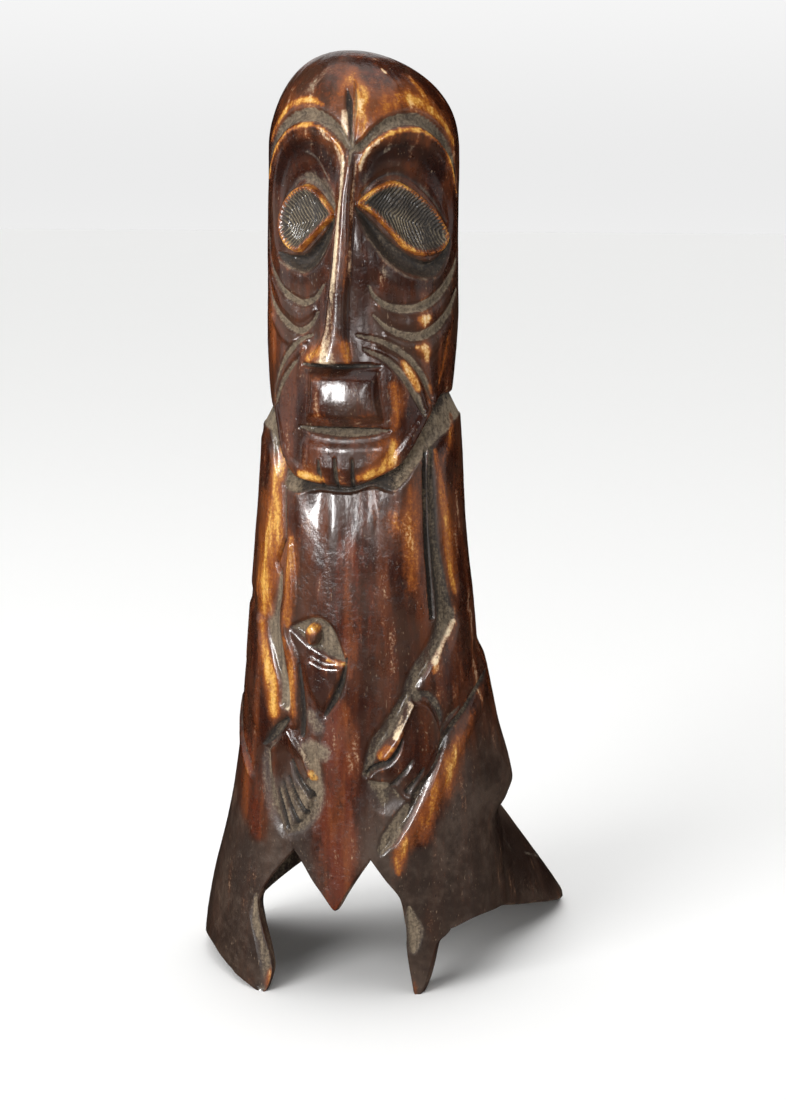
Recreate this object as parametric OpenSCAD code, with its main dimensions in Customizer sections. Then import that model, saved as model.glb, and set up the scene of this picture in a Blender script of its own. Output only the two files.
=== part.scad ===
// Carved ancestor figure: one hollow, flared bone carved as a standing figure on pointed feet.
// The figure faces -Y and its left hand is on +X. Angles run round the vertical axis from the
// front (0) towards the figure's left (90). Every section lies on, or just under, one skin.

/* [Body] */
// Height from the feet to the crown
total_h = 230; // [180:5:280]
// Thickness of the bone wall round the marrow hollow
wall_t = 4.5; // [3.5:0.5:6]
// Height of the top of the marrow hollow
hollow_top = 120; // [90:2:124]

/* [Carving] */
// Depth of the eye sockets
socket_depth = 2.6; // [1:0.2:3.4]
// How far the nose stands out
nose_height = 2.8; // [1.5:0.1:3.5]
// How far the arms and hands stand out
arm_height = 1.5; // [0.8:0.1:2.4]
// How far the collar sits back under the jaw
collar_depth = 2.4; // [1:0.2:3.2]

/* [Base] */
// How far the left rear foot reaches out beyond the waist
left_reach = 34; // [24:1:38]
// How far the right rear foot reaches out beyond the waist
right_reach = 7; // [2:1:12]

/* [Hidden] */
NOMINAL_H = 230;
WAIST = 60;
CROWN_Z = 206;
NECK_TOP_Z = 139;
NECK_FOOT_Z = 132;
// Middle of the standing figure's box, measured from the axis of the shaft
CENTRE_X = 0.69;
CENTRE_Y = 17.72;
// Degrees between the columns of a full ring
STEP = 6;
// Millimetres of skin to one degree, near enough, for widths across a strip
MM_PER_DEGREE = 0.42;
SIDES = ["left", "right"];
SCARS = 3;

// Height, half width, depth in front, depth behind, roundness and sideways offset of the bone
STATIONS = [
    [0, 37.5, 28.0, 38.0, 2.10, 0.0],
    [25, 36.0, 27.3, 32.0, 2.10, 0.0],
    [40, 34.3, 26.6, 29.5, 2.15, 0.2],
    [55, 32.0, 26.0, 27.5, 2.20, 0.3],
    [75, 29.8, 25.5, 25.5, 2.20, 0.3],
    [95, 27.9, 25.0, 24.0, 2.20, 0.4],
    [120, 25.5, 24.0, 22.5, 2.20, 0.4],
    [138, 24.5, 23.0, 21.5, 2.15, 0.5],
    [160, 23.4, 22.5, 21.0, 2.10, 0.6],
    [207, 23.0, 22.0, 21.0, 2.00, 1.0]];
DOME_Z = 207;

// Lower edge of the jaw and of the collar: angle and height
JAW = [[-180, 148], [-90, 147], [-50, 145], [-38, 134], [-26, 129.5], [3, 128], [20, 130],
    [34, 133], [56, 144.5], [72, 149], [120, 149], [180, 148]];
COLLAR = [[-180, 141], [-90, 141], [-54, 140], [-42, 129], [-28, 125.5], [3, 124], [26, 124.5],
    [38, 129], [50, 135], [62, 138.5], [93, 143], [180, 141]];

// The lower rim away from the two front legs, from the right side round to the right side again:
// the waist angle of a column of the shell, and the angle and height where that column ends
RIM = [
    [-94, -94, 3.6], [-78, -78, 5.6], [-60, -55, 2.6], [-24, -24, 38], [-13, -12, 30.4],
    [-1, -1, 23.2], [9, 8, 30.8], [17, 17, 37.2], [54, 56, 17.2], [70, 70, 19.2], [86, 86, 18],
    [104, 104, 14.6], [122, 123, 9], [134, 135, 3.4], [142, 142, 0], [152, 152, 0],
    [160, 160, 13], [168, 168, 22], [180, 180, 26], [200, 200, 24.5], [218, 219, 18],
    [236, 239, 8], [247, 250, 0], [257, 259, 0], [266, 266, 3.6]];

// The two edges of each front leg, height and angle from the foot up; the left leg comes first
LEG_INNER = [
    [[0, 42], [3.4, 41], [10.8, 38.4], [18.8, 36.5], [25.5, 33.6], [31.6, 25], [37.2, 17], [60, 17]],
    [[0, -33.5], [5, -31], [11, -33.5], [16.5, -37.6], [21, -40.5], [25, -39.5], [31, -34],
        [38, -24], [60, -24]]];
LEG_OUTER = [
    [[0, 47], [6, 50], [13.5, 52], [17.2, 56], [60, 54]],
    [[0, -40.5], [2.6, -55], [60, -60]]];

// Raised strips: angle, height and width along each line; the first of each pair is the left one
BROWS = [
    [[6, 204, 1.8], [14, 208.6, 2.2], [27, 211.3, 2.4], [44, 212, 2.4], [60, 210, 2.4],
        [74, 205.6, 2.2], [86, 199, 1.6]],
    [[2, 204, 1.8], [-7, 208.6, 2.2], [-20, 211.3, 2.4], [-34, 210.4, 2.4], [-47, 207, 2.2],
        [-58, 201.5, 1.6]]];
CHEEKS = [
    [[[23, 170.8, 2], [32, 167.8, 2.8], [44, 166.6, 3], [58, 167.7, 3], [72, 171, 2.6],
        [86, 175.4, 1.8]],
        [[28, 163.2, 1.6], [42, 161.4, 2.4], [54, 160.2, 2.8], [66, 162.4, 2.6], [80, 167, 1.8]],
        [[22, 160.8, 1.6], [34, 158, 2.2], [44, 154.2, 2.6], [52, 149.6, 2]]],
    [[[-56, 176.4, 1.8], [-42, 170.8, 2.6], [-30, 168, 2.8], [-20, 169.6, 2]],
        [[-56, 167.6, 1.8], [-42, 163.4, 2.4], [-31, 161.4, 2.2], [-24, 162, 1.6]],
        [[-26, 159.8, 1.6], [-36, 156.4, 2.2], [-44, 151, 2.2], [-48, 147.4, 1.8]]]];
CLOAKS = [
    [[97, 81, 3], [80, 75, 4], [64, 67, 4], [50, 57, 4], [38, 47, 4], [28, 39.5, 3]],
    [[-82, 71, 2.5], [-70, 63, 3], [-60, 56.5, 3], [-50, 49, 3], [-40, 42, 2.5], [-31, 38, 2]]];
NOSE = [[4.2, 206, 1.8], [3.4, 198, 2.2], [2.2, 188, 2.6], [1.4, 178, 3.4], [0.8, 170, 5.4],
    [0.2, 164, 9.6], [0, 160, 14.4], [0, 157, 16.4]];

// Raised pieces: the angle and height of each point of the outline
EYES = [
    [[12, 192.8], [20, 195.8], [35, 197.8], [52, 195], [69, 191.4], [74, 186.4], [64, 182.6],
        [52, 181], [41, 182], [30, 186.4], [21, 190]],
    [[-6, 192], [-15, 196], [-28, 198.8], [-40, 197.2], [-48, 193], [-48, 187.6], [-41, 184.2],
        [-33, 183], [-25, 185.2], [-16, 188]]];
UPPER_ARMS = [
    [[57, 133], [64, 137], [80, 139.6], [94, 138.6], [97, 124], [95, 108], [91, 97], [70, 96],
        [60, 99], [56.5, 112], [55.5, 124]],
    [[-47, 132], [-57, 138], [-72, 139.5], [-84, 137], [-86, 120], [-84, 106], [-79, 99],
        [-62, 99.6], [-49, 98], [-45, 106], [-44, 118]]];
FOREARMS = [
    [[67, 95], [91, 96], [88, 87], [76, 79.6], [62, 73], [52, 69.4], [37, 77.6], [43, 86],
        [55, 90.4]],
    [[-52, 97.4], [-78, 98], [-75, 87], [-67, 76], [-56, 67], [-45, 62.2], [-33, 69.6],
        [-40, 77], [-48, 88]]];
HANDS = [
    [[35, 77.4], [48, 70.6], [53, 67.6], [48, 61.6], [44, 56.6], [38, 51.4], [30, 49], [22, 51.6],
        [18, 56.4], [25, 60], [22, 63.4], [28, 68], [31, 72]],
    [[-33, 68.8], [-44, 62], [-41, 54], [-35, 47.6], [-29, 43], [-24, 44.6], [-20, 46.8],
        [-16, 50.4], [-14, 56], [-19, 60], [-25, 65]]];
UPPER_LIP = [[-21, 155.4], [1, 155.4], [24, 155.4], [26, 149], [28, 143], [15, 142], [2, 141.8],
    [-12, 142], [-25, 142.6], [-23, 149]];
LOWER_LIP = [[-24, 141.2], [-12, 140.7], [2, 140.5], [16, 140.8], [28, 141.6], [26, 137.8],
    [14, 137], [2, 136.8], [-10, 137], [-22, 137.6]];
CHIN = [[-21, 137], [-9, 136.3], [2, 136.1], [14, 136.4], [26, 137.2], [28, 134], [20, 130.6],
    [12, 129.2], [3, 128.6], [-8, 129], [-18, 129.8], [-24, 132]];
KNOB = [for (a = [0:36:324]) [-15 + 4.6 * sin(a), 91.6 + 3.6 * cos(a)]];
LEAF = [[-28, 90.6], [-20, 87.2], [-8, 86.4], [3, 85.6], [1.5, 80.6], [-2, 76.6], [-8, 73.2],
    [-14, 77.2], [-21, 83]];
EYE_HEIGHT = 1.5;
BROW_HEIGHT = 0.9;
CHEEK_HEIGHT = 0.8;
LIP_HEIGHT = 2.2;
LOWER_LIP_HEIGHT = 1.2;
CHIN_HEIGHT = 2.0;
CLOAK_HEIGHT = 1.2;
KNOB_HEIGHT = 2.2;
LEAF_HEIGHT = 1.2;

function bell(x) = exp(-x * x);
function ease(t) = let (c = min(max(t, 0), 1)) c * c * (3 - 2 * c);
function turn(a, b) = ((a - b + 540) % 360) - 180;
function column(table, x, i) = lookup(x, [for (row = table) [row[0], row[i]]]);

// Radius of the plain bone, a rounded shaft that ends in a dome
function shaft_r(p, z) =
    let (zz = min(z, DOME_Z),
        a = column(STATIONS, zz, 1),
        d = column(STATIONS, zz, cos(p) > 0 ? 2 : 3),
        n = column(STATIONS, zz, 4),
        over = max(z - DOME_Z, 0) / (NOMINAL_H - DOME_Z))
    pow(pow(abs(sin(p) / a), n) + pow(abs(cos(p) / d), n), -1 / n) * sqrt(max(0, 1 - over * over));

// The natural flare of the bone at the two rear feet, the hip flange on the left, and the set
// of the two front feet, the right one a little forward and the left one a little back
function flare(p, z) =
    left_reach * pow(max(0, 45 - z) / 45, 0.72) * bell(turn(p, 147) / 26)
    + right_reach * ease((50 - z) / 50) * bell(turn(p, -104) / 30)
    + 6 * lookup(z, [[40, 0], [45, 0.7], [49, 1], [66, 0.62], [81, 0.32], [86, 0]])
        * bell(turn(p, 112) / 26)
    + ease((40 - z) / 40) * (2.5 * bell(turn(p, -40) / 20) - 4.5 * bell(turn(p, 38) / 20));

// What the carver took away from the face: the two eye sockets and the hollow cheeks
function bowl(p, z, p0, z0, w, h) = ease(1.25 * (1 - norm([(p - p0) / w, (z - z0) / h])));
function carved(p, z) = z < 150 ? 0 :
    -socket_depth * max(bowl(p, z, -27, 194, 31, 18), bowl(p, z, 40, 194, 42, 18))
    - 1.2 * max(bowl(p, z, -22, 170, 24, 18), bowl(p, z, 26, 170, 26, 18));

function axis_x(z) = column(STATIONS, z, 5) - 3.4 * pow(max(z - 214, 0) / (NOMINAL_H - 214), 2);
function skin_r(p, z) = shaft_r(p, z) + flare(p, z) + carved(p, z);
function at(p, z, r) = [axis_x(z) + r * sin(p), -r * cos(p), z];
function skin(p, z, off = 0) = at(p, z, skin_r(p, z) + off);

// Where a column of the lower shell ends at the rim
function rim_p(u) = column(RIM, u, 1);
function rim_z(u) = column(RIM, u, 2);
function mix(a, b, t) = a + (b - a) * t;

// Face lists for a sheet of points in rows of n, wound one way or the other
function sheet(rows, n, start, flip, closed = false) =
    [for (j = [0:rows - 2], i = [0:n - (closed ? 1 : 2)])
        let (a = start + j * n + i, b = start + j * n + (i + 1) % n, c = b + n, d = a + n)
        each flip ? [[a, b, c], [a, c, d]] : [[a, c, b], [a, d, c]]];

// A closed block between two equal grids of points, each a list of rows
module block(outer, inner) {
    m = len(outer);
    n = len(outer[0]);
    k = m * n;
    edge = concat([for (i = [0:n - 1]) i], [for (j = [1:m - 1]) j * n + n - 1],
        [for (i = [n - 2:-1:0]) (m - 1) * n + i], [for (j = [m - 2:-1:1]) j * n]);
    rim = [for (q = [0:len(edge) - 1])
        let (a = edge[q], b = edge[(q + 1) % len(edge)]) each [[a, b + k, a + k], [a, b, b + k]]];
    polyhedron(concat([for (row = outer) each row], [for (row = inner) each row]),
        concat(sheet(m, n, 0, false), sheet(m, n, k, true), rim));
}

// A solid from closed rings of points, one over the other, ending in a point at each end
module stack(bottom, rings, top) {
    n = len(rings[0]);
    m = len(rings);
    fans = [for (i = [0:n - 1]) let (b = (i + 1) % n)
        each [[m * n, i, b], [m * n + 1, (m - 1) * n + b, (m - 1) * n + i]]];
    polyhedron(concat([for (ring = rings) each ring], [bottom, top]),
        concat(sheet(m, n, 0, false, true), fans));
}

function ring(f) = [for (p = [-180:STEP:179]) f(p)];

// Twice the area inside an outline of [angle, height], above 0 when it runs anticlockwise
function turning(q) =
    let (n = len(q), each_way = [for (i = [0:n - 1]) cross(q[i], q[(i + 1) % n])])
    each_way * [for (w = each_way) 1];
function reversed(q) = [for (i = [len(q) - 1:-1:0]) q[i]];

// A raised piece on the skin, given the angle and height of each point round it
module pad(points, h, steps = 3, edge = 0.55) {
    n = len(points);
    outline = turning(points) > 0 ? points : reversed(points);
    mid = [for (i = [0:1]) [for (q = outline) q[i]] * [for (q = outline) 1] / n];
    spot = function(i, k) mix(outline[i], mid, k / steps);
    lift = function(k) k == 0 ? edge * h : h * (edge + (1 - edge) * sin(90 * k / (steps - 1)));
    low = [for (k = [0:steps - 1]) [for (i = [0:n - 1])
        let (q = spot(i, steps - 1 - k)) skin(q[0], q[1])]];
    high = [for (k = [0:steps - 1]) [for (i = [0:n - 1])
        let (q = spot(i, k)) skin(q[0], q[1], lift(k))]];
    stack(skin(mid[0], mid[1]), concat(low, high), skin(mid[0], mid[1], h));
}

// A raised strip along a line of [angle, height, width], with a rounded top
module strip(line, h) {
    across = [1, 0.6, 0, -0.6, -1];
    rise = [0.35, 0.85, 1, 0.85, 0.35];
    spot = function(j, i)
        let (a = line[max(j - 1, 0)], b = line[min(j + 1, len(line) - 1)], q = line[j],
            dx = (b[0] - a[0]) * MM_PER_DEGREE, dz = b[1] - a[1], l = norm([dx, dz]),
            w = across[i] * q[2] / 2)
        [q[0] - dz / l * w / MM_PER_DEGREE, q[1] + dx / l * w];
    rows = [for (j = [0:len(line) - 1]) [for (i = [0:4]) spot(j, i)]];
    block([for (row = rows) [for (i = [0:4]) skin(row[i][0], row[i][1], h * rise[i])]],
        [for (row = rows) [for (q = row) skin(q[0], q[1])]]);
}

// A smooth line through the given points, four steps to each stretch
function curve(pts, steps = 4) =
    concat([for (i = [0:len(pts) - 2], k = [0:steps - 1])
        let (a = pts[max(i - 1, 0)], b = pts[i], c = pts[i + 1], d = pts[min(i + 2, len(pts) - 1)],
            t = k / steps)
        0.5 * (2 * b + (c - a) * t + (2 * a - 5 * b + 4 * c - d) * t * t
            + (3 * b - 3 * c + d - a) * t * t * t)], [pts[len(pts) - 1]]);
function loop(pts) = [for (i = [0:len(pts) - 1])
    let (n = len(pts), a = pts[(i + n - 1) % n], b = pts[i], c = pts[(i + 1) % n],
        d = pts[(i + 2) % n]) each [b, (9 * (b + c) - a - d) / 16]];

module placed() {
    scale(total_h / NOMINAL_H) translate([-CENTRE_X, -CENTRE_Y, 0]) children();
}

module head_core() {
    rows = 20;
    z = function(p, t) mix(lookup(p, JAW), CROWN_Z, t);
    color("#4a241b") placed() stack([0, 0, NECK_TOP_Z],
        concat([ring(function(p) skin(p, z(p, 0), -collar_depth))],
            [for (j = [0:rows]) ring(function(p) skin(p, z(p, j / rows)))]),
        [0, 0, CROWN_Z]);
}

module skull_crown() {
    rows = 8;
    last_row = 78;
    z = function(k) mix(CROWN_Z, NOMINAL_H, sin(last_row * k / rows));
    color("#4f281c") placed() stack([0, 0, CROWN_Z],
        [for (k = [0:rows]) ring(function(p) skin(p, z(k)))],
        [axis_x(NOMINAL_H), 0, NOMINAL_H]);
}

module neck_collar() {
    color("#6b6450") placed() stack([0, 0, NECK_FOOT_Z],
        [ring(function(p) skin(p, lookup(p, COLLAR), -collar_depth)),
            ring(function(p) skin(p, lookup(p, JAW), -collar_depth))],
        [0, 0, NECK_TOP_Z]);
}

// The trunk, with the top of the marrow hollow inside it
module torso() {
    rows = 16;
    domes = 8;
    z = function(p, t) mix(WAIST, lookup(p, COLLAR), t);
    inner = function(p, k)
        let (a = 90 * k / domes, zz = mix(WAIST, hollow_top, sin(a)))
        at(p, zz, (skin_r(p, zz) - wall_t) * cos(a));
    color("#4a2a20") placed() stack([axis_x(hollow_top), 0, hollow_top],
        concat([for (k = [domes - 1:-1:0]) ring(function(p) inner(p, k))],
            [for (j = [0:rows]) ring(function(p) skin(p, z(p, j / rows)))],
            [ring(function(p) skin(p, z(p, 1), -collar_depth))]),
        [0, 0, NECK_FOOT_Z]);
}

// One section of the shell below the waist, between two waist angles of the rim list
module shell(from, to, rows = 8) {
    knots = [for (row = RIM) if (row[0] >= from && row[0] <= to) row[0]];
    columns = [for (i = [0:len(knots) - 1]) each i == 0
        ? [knots[0]]
        : [(knots[i - 1] + knots[i]) / 2, knots[i]]];
    grid = function(off) [for (j = [rows:-1:0]) [for (u = columns)
        skin(mix(u, rim_p(u), j / rows), mix(WAIST, rim_z(u), j / rows), off)]];
    placed() block(grid(0), grid(-wall_t));
}

// A front leg is built of level rows, each one from its first edge to its second
module leg(first, second, columns = 8) {
    knots = concat([for (row = first) row[0]], [for (row = second) row[0]], [13, 28, 45, 52]);
    heights = sorted(knots);
    grid = function(off) [for (z = heights) [for (i = [0:columns])
        skin(mix(lookup(z, first), lookup(z, second), i / columns), z, off)]];
    placed() block(grid(0), grid(-wall_t));
}
function sorted(list) = [for (i = [0:len(list) - 1])
    let (rest = [for (v = list) if (len([for (w = list) if (w < v) w]) == i) v])
    if (len(rest) > 0) rest[0]];

module front_tongue() { color("#6e3020") shell(-24, 17); }
module back_panel() { color("#3e2a22") shell(168, 218); }
module front_leg(side) {
    inner = pick(side, LEG_INNER);
    outer = pick(side, LEG_OUTER);
    color("#42291f") leg(side == "left" ? inner : outer, side == "left" ? outer : inner);
}
module side_panel(side) { color("#3a3028") shell(pick(side, [54, -94]), pick(side, [122, -60])); }
module rear_leg(side) { color("#352c24") shell(pick(side, [122, 218]), pick(side, [168, 266])); }

function pick(side, pair) = side == "left" ? pair[0] : pair[1];
module nose_ridge() { color("#7a3c1e") placed() strip(curve(NOSE), nose_height); }
module brow_ridge(side) {
    color("#c8812c") placed() strip(curve(pick(side, BROWS)), BROW_HEIGHT);
}
module cheek_scar(side, i) {
    color("#6a3a20") placed() strip(curve(pick(side, CHEEKS)[i - 1]), CHEEK_HEIGHT);
}
module cloak_edge(side) {
    color("#8a4c20") placed() strip(curve(pick(side, CLOAKS)), CLOAK_HEIGHT);
}
module eye(side) { color("#a87434") placed() pad(loop(pick(side, EYES)), EYE_HEIGHT); }
module upper_arm(side) { color("#8a4a22") placed() pad(loop(pick(side, UPPER_ARMS)), arm_height); }
module forearm(side) { color("#46261c") placed() pad(loop(pick(side, FOREARMS)), arm_height); }
module hand(side) { color("#5c3420") placed() pad(loop(pick(side, HANDS)), arm_height); }
module upper_lip() { color("#4a2018") placed() pad(loop(UPPER_LIP), LIP_HEIGHT, 4); }
module lower_lip() { color("#77706a") placed() pad(loop(LOWER_LIP), LOWER_LIP_HEIGHT); }
module chin_beard() { color("#5a2c1c") placed() pad(loop(CHIN), CHIN_HEIGHT, 4); }
module navel_knob() { color("#9a5c28") placed() pad(KNOB, KNOB_HEIGHT, 3, 0.7); }
module belly_leaf() { color("#642c1c") placed() pad(loop(LEAF), LEAF_HEIGHT); }

skull_crown();
head_core();
nose_ridge();
upper_lip();
lower_lip();
chin_beard();
neck_collar();
torso();
navel_knob();
belly_leaf();
front_tongue();
back_panel();
for (s = SIDES) {
    brow_ridge(s);
    eye(s);
    upper_arm(s);
    forearm(s);
    hand(s);
    cloak_edge(s);
    front_leg(s);
    side_panel(s);
    rear_leg(s);
    for (i = [1:SCARS]) {
        cheek_scar(s, i);
    }
}
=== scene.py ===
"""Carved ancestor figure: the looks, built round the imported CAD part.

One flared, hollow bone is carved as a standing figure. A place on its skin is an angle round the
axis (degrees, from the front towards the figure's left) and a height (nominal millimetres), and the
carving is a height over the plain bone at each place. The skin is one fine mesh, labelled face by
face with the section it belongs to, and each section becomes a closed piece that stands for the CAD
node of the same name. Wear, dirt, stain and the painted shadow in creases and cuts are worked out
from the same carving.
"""

import math

import bpy
import numpy as np
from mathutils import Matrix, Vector


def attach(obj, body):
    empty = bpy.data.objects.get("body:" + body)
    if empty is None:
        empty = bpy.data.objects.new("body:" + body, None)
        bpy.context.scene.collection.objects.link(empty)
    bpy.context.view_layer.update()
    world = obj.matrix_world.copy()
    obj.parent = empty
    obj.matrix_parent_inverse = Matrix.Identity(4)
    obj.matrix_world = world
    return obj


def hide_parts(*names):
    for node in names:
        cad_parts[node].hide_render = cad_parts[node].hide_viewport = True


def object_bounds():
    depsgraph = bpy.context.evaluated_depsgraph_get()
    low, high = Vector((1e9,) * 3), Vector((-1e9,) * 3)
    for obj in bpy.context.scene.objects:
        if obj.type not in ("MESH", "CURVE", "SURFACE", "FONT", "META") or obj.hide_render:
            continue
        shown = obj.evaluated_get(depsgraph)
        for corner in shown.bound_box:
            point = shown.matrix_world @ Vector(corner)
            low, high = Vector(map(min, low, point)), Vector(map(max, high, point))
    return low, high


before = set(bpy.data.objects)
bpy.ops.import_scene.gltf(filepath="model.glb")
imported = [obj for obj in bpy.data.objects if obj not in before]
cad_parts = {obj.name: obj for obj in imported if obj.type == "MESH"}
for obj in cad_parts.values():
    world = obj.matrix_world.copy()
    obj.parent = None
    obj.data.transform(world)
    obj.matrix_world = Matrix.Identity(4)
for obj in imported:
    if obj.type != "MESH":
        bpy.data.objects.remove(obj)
cad_low, cad_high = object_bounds()

# Heights and lengths in nominal millimetres
NOMINAL_H = 230.0
MM = (cad_high.z - cad_low.z) / NOMINAL_H  # metres in a nominal millimetre
CENTRE_X, CENTRE_Y = 0.69, 17.72  # from the bone's axis to the frame's
SPLIT, WAIST = 38.5, 60.0  # the feet part below the first, the base's sections end at the second
CROWN_Z, DOME_Z = 206.0, 207.0  # lower edge of the crown section, and where the top starts to round
WALL = 4.5
HOLLOW_TOP = 120.0
INLAY = 1.4  # how deep the relief sections are set in the bone
FOOT_ROUND = 3.5  # the flare stops widening this near the floor
MM_PER_DEGREE = 0.43  # along the skin, for the widths of the carving
SIDES = ("left", "right")


# ---------------------------------------------------------------- curves and tables

def ease(t):
    t = np.clip(t, 0, 1)
    return t * t * (3 - 2 * t)


def bell(x):
    return np.exp(-x * x)


def turn(a, b=0.0):
    return (a - b + 180) % 360 - 180


def mix(a, b, t):
    return a + (b - a) * t


def table(rows):
    """A smooth reading of a table by its first column, which never passes beyond its knots."""
    rows = np.array(rows, float)
    rows = rows[np.argsort(rows[:, 0], kind="stable")]
    xs, ys = rows[:, 0], rows[:, 1:]
    gap = np.diff(xs)[:, None]
    rise = np.diff(ys, axis=0) / gap
    slope = np.zeros_like(ys)
    slope[0], slope[-1] = rise[0], rise[-1]
    both = rise[:-1] * rise[1:]
    total = rise[:-1] + rise[1:]
    slope[1:-1] = np.where(both > 0, 2 * both / np.where(total == 0, 1, total), 0)

    def read(x, column=0):
        x = np.clip(x, xs[0], xs[-1])
        i = np.clip(np.searchsorted(xs, x, side="right") - 1, 0, len(xs) - 2)
        h = xs[i + 1] - xs[i]
        t = (x - xs[i]) / h
        y0, y1 = ys[i, column], ys[i + 1, column]
        m0, m1 = slope[i, column] * h, slope[i + 1, column] * h
        return (y0 * (1 + 2 * t) * (1 - t) ** 2 + m0 * t * (1 - t) ** 2
                + y1 * t * t * (3 - 2 * t) + m1 * t * t * (t - 1))

    return read


def curve(points, closed=False, steps=5):
    """A Catmull-Rom line through the points, all columns alike."""
    q = np.array(points, float)
    if closed:
        q = np.vstack([q[-1], q, q[0], q[1]])
    else:
        q = np.vstack([2 * q[0] - q[1], q, 2 * q[-1] - q[-2]])
    t = (np.arange(steps) / steps)[:, None]
    out = []
    for a, b, c, d in zip(q, q[1:], q[2:], q[3:]):
        out.append(0.5 * (2 * b + (c - a) * t + (2 * a - 5 * b + 4 * c - d) * t * t
                          + (3 * b - 3 * c + d - a) * t ** 3))
    out.append(q[-2][None])
    return np.vstack(out)


def near(line, p, z, reach=7.0):
    """Distance to a line in millimetres, the side it is on (1 to the left of the line's run, or
    -1) and the line's further columns at the nearest place; infinite beyond the reach."""
    x = p * MM_PER_DEGREE
    lx = line[:, 0] * MM_PER_DEGREE
    lz = line[:, 1]
    found = np.flatnonzero(
        (x > lx.min() - reach) & (x < lx.max() + reach) & (z > lz.min() - reach) & (z < lz.max() + reach))
    best = np.full(p.shape, np.inf)
    side = np.ones(p.shape)
    more = np.zeros((line.shape[1] - 2,) + p.shape)
    xx, zz = x[found], z[found]
    close = np.full(xx.shape, np.inf)
    sides = np.ones(xx.shape)
    others = np.zeros((line.shape[1] - 2,) + xx.shape)
    for i in range(len(line) - 1):
        dx, dz = lx[i + 1] - lx[i], lz[i + 1] - lz[i]
        length = dx * dx + dz * dz
        if length < 1e-12:
            continue
        t = np.clip(((xx - lx[i]) * dx + (zz - lz[i]) * dz) / length, 0, 1)
        ex, ez = xx - lx[i] - t * dx, zz - lz[i] - t * dz
        d = np.hypot(ex, ez)
        better = d < close
        close = np.where(better, d, close)
        sides = np.where(better, np.where(dx * ez - dz * ex >= 0, 1.0, -1.0), sides)
        for k in range(len(others)):
            value = mix(line[i, k + 2], line[i + 1, k + 2], t)
            others[k] = np.where(better, value, others[k])
    best[found] = close
    side[found] = sides
    more[:, found] = others
    return best, side, more


def inside(outline, p, z):
    """True at the places inside the smooth closed line through an outline's points."""
    line = curve(outline, closed=True)
    (p_low, z_low), (p_high, z_high) = line.min(axis=0), line.max(axis=0)
    result = np.zeros(p.shape, bool)
    found = np.flatnonzero((p >= p_low) & (p <= p_high) & (z >= z_low) & (z <= z_high))
    pp, zz = p[found], z[found]
    odd = np.zeros(pp.shape, bool)
    for (p0, z0), (p1, z1) in zip(line, np.roll(line, -1, axis=0)):
        if z0 == z1:
            continue
        crosses = (z0 > zz) != (z1 > zz)
        odd ^= crosses & (pp < (p1 - p0) * (zz - z0) / (z1 - z0) + p0)
    result[found] = odd
    return result


def depth_inside(outline, p, z):
    """Millimetres in from the edge of a closed outline, below 0 outside it."""
    d, _, _ = near(curve(outline, closed=True), p, z)
    d = np.where(np.isinf(d), 99.0, d)
    return np.where(inside(outline, p, z), d, -d)


# ---------------------------------------------------------------- the plain bone

# Height, half width, depth in front, depth behind, roundness and sideways offset
STATIONS = table([
    [0, 37.5, 28, 38, 2.1, 0], [25, 36, 27.3, 32, 2.1, 0], [40, 34.3, 26.6, 29.5, 2.15, 0.2],
    [55, 32, 26, 27.5, 2.2, 0.3], [75, 29.8, 25.5, 25.5, 2.2, 0.3], [95, 27.9, 25, 24, 2.2, 0.4],
    [120, 25.5, 24, 22.5, 2.2, 0.4], [138, 24.5, 23, 21.5, 2.15, 0.5], [160, 23.4, 22.5, 21, 2.1, 0.6],
    [207, 23, 22, 21, 2, 1]])
FLANGE = table([[0, 0], [40, 0], [45, 0.7], [49, 1], [66, 0.62], [81, 0.32], [87, 0], [230, 0]])

# Lower edges of the jaw and the collar
JAW = table([
    [-180, 148], [-90, 147], [-50, 145], [-38, 134], [-26, 129.5], [3, 128], [20, 130], [34, 133],
    [56, 144.5], [72, 149], [120, 149], [180, 148]])
COLLAR = table([
    [-180, 141], [-90, 141], [-54, 140], [-42, 129], [-28, 125.5], [3, 124], [26, 124.5], [38, 129],
    [50, 135], [62, 138.5], [93, 143], [180, 141]])

# Waist angle of a column, and the angle and height where it meets the lower rim
RIM = table([
    [-94, -94, 3.6], [-78, -78, 5.6], [-60, -55, 2.6], [54, 56, 17.2], [70, 70, 19.2], [86, 86, 18],
    [104, 104, 14.6], [122, 123, 9], [134, 135, 3.4], [142, 142, 0], [152, 152, 0], [160, 160, 13],
    [168, 168, 22], [180, 180, 26], [200, 200, 24.5], [218, 219, 18], [236, 239, 8], [247, 250, 0],
    [257, 259, 0], [266, 266, 3.6]])
TONGUE = table([
    [-24, 38], [-18, 34.2], [-13, 30.6], [-6, 26.3], [-2.6, 24.1], [-1, 23.3], [0.6, 24.3], [4, 27.3],
    [9, 31.3], [17, 37.2]])
LEG_INNER = {
    "left": table([[0, 42], [3.4, 41], [10.8, 38.4], [18.8, 36.5], [25.5, 33.6], [31.6, 25],
                   [37.2, 17]]),
    "right": table([[0, -35], [5, -32.6], [11, -35.2], [16.5, -39.4], [21, -42], [25, -40.8],
                    [31, -34.8], [38, -24]])}
SIDE_NOTCH_Z = 17.2  # top of the notch between the left leg and the side panel
LEG_NOTCH = {"left": (17.0, 37.2), "right": (-24.0, 38.0)}  # where each leg meets the tongue
LEG_OUTER = {
    "left": table([[0, 44.4], [2.5, 46.2], [6, 47.8], [13.5, 50.6], [17.2, 56], [17.3, 56],
                   [SPLIT, 55]]),
    "right": table([[0, -38.6], [1, -43], [2.6, -55], [SPLIT, -60]])}


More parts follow.
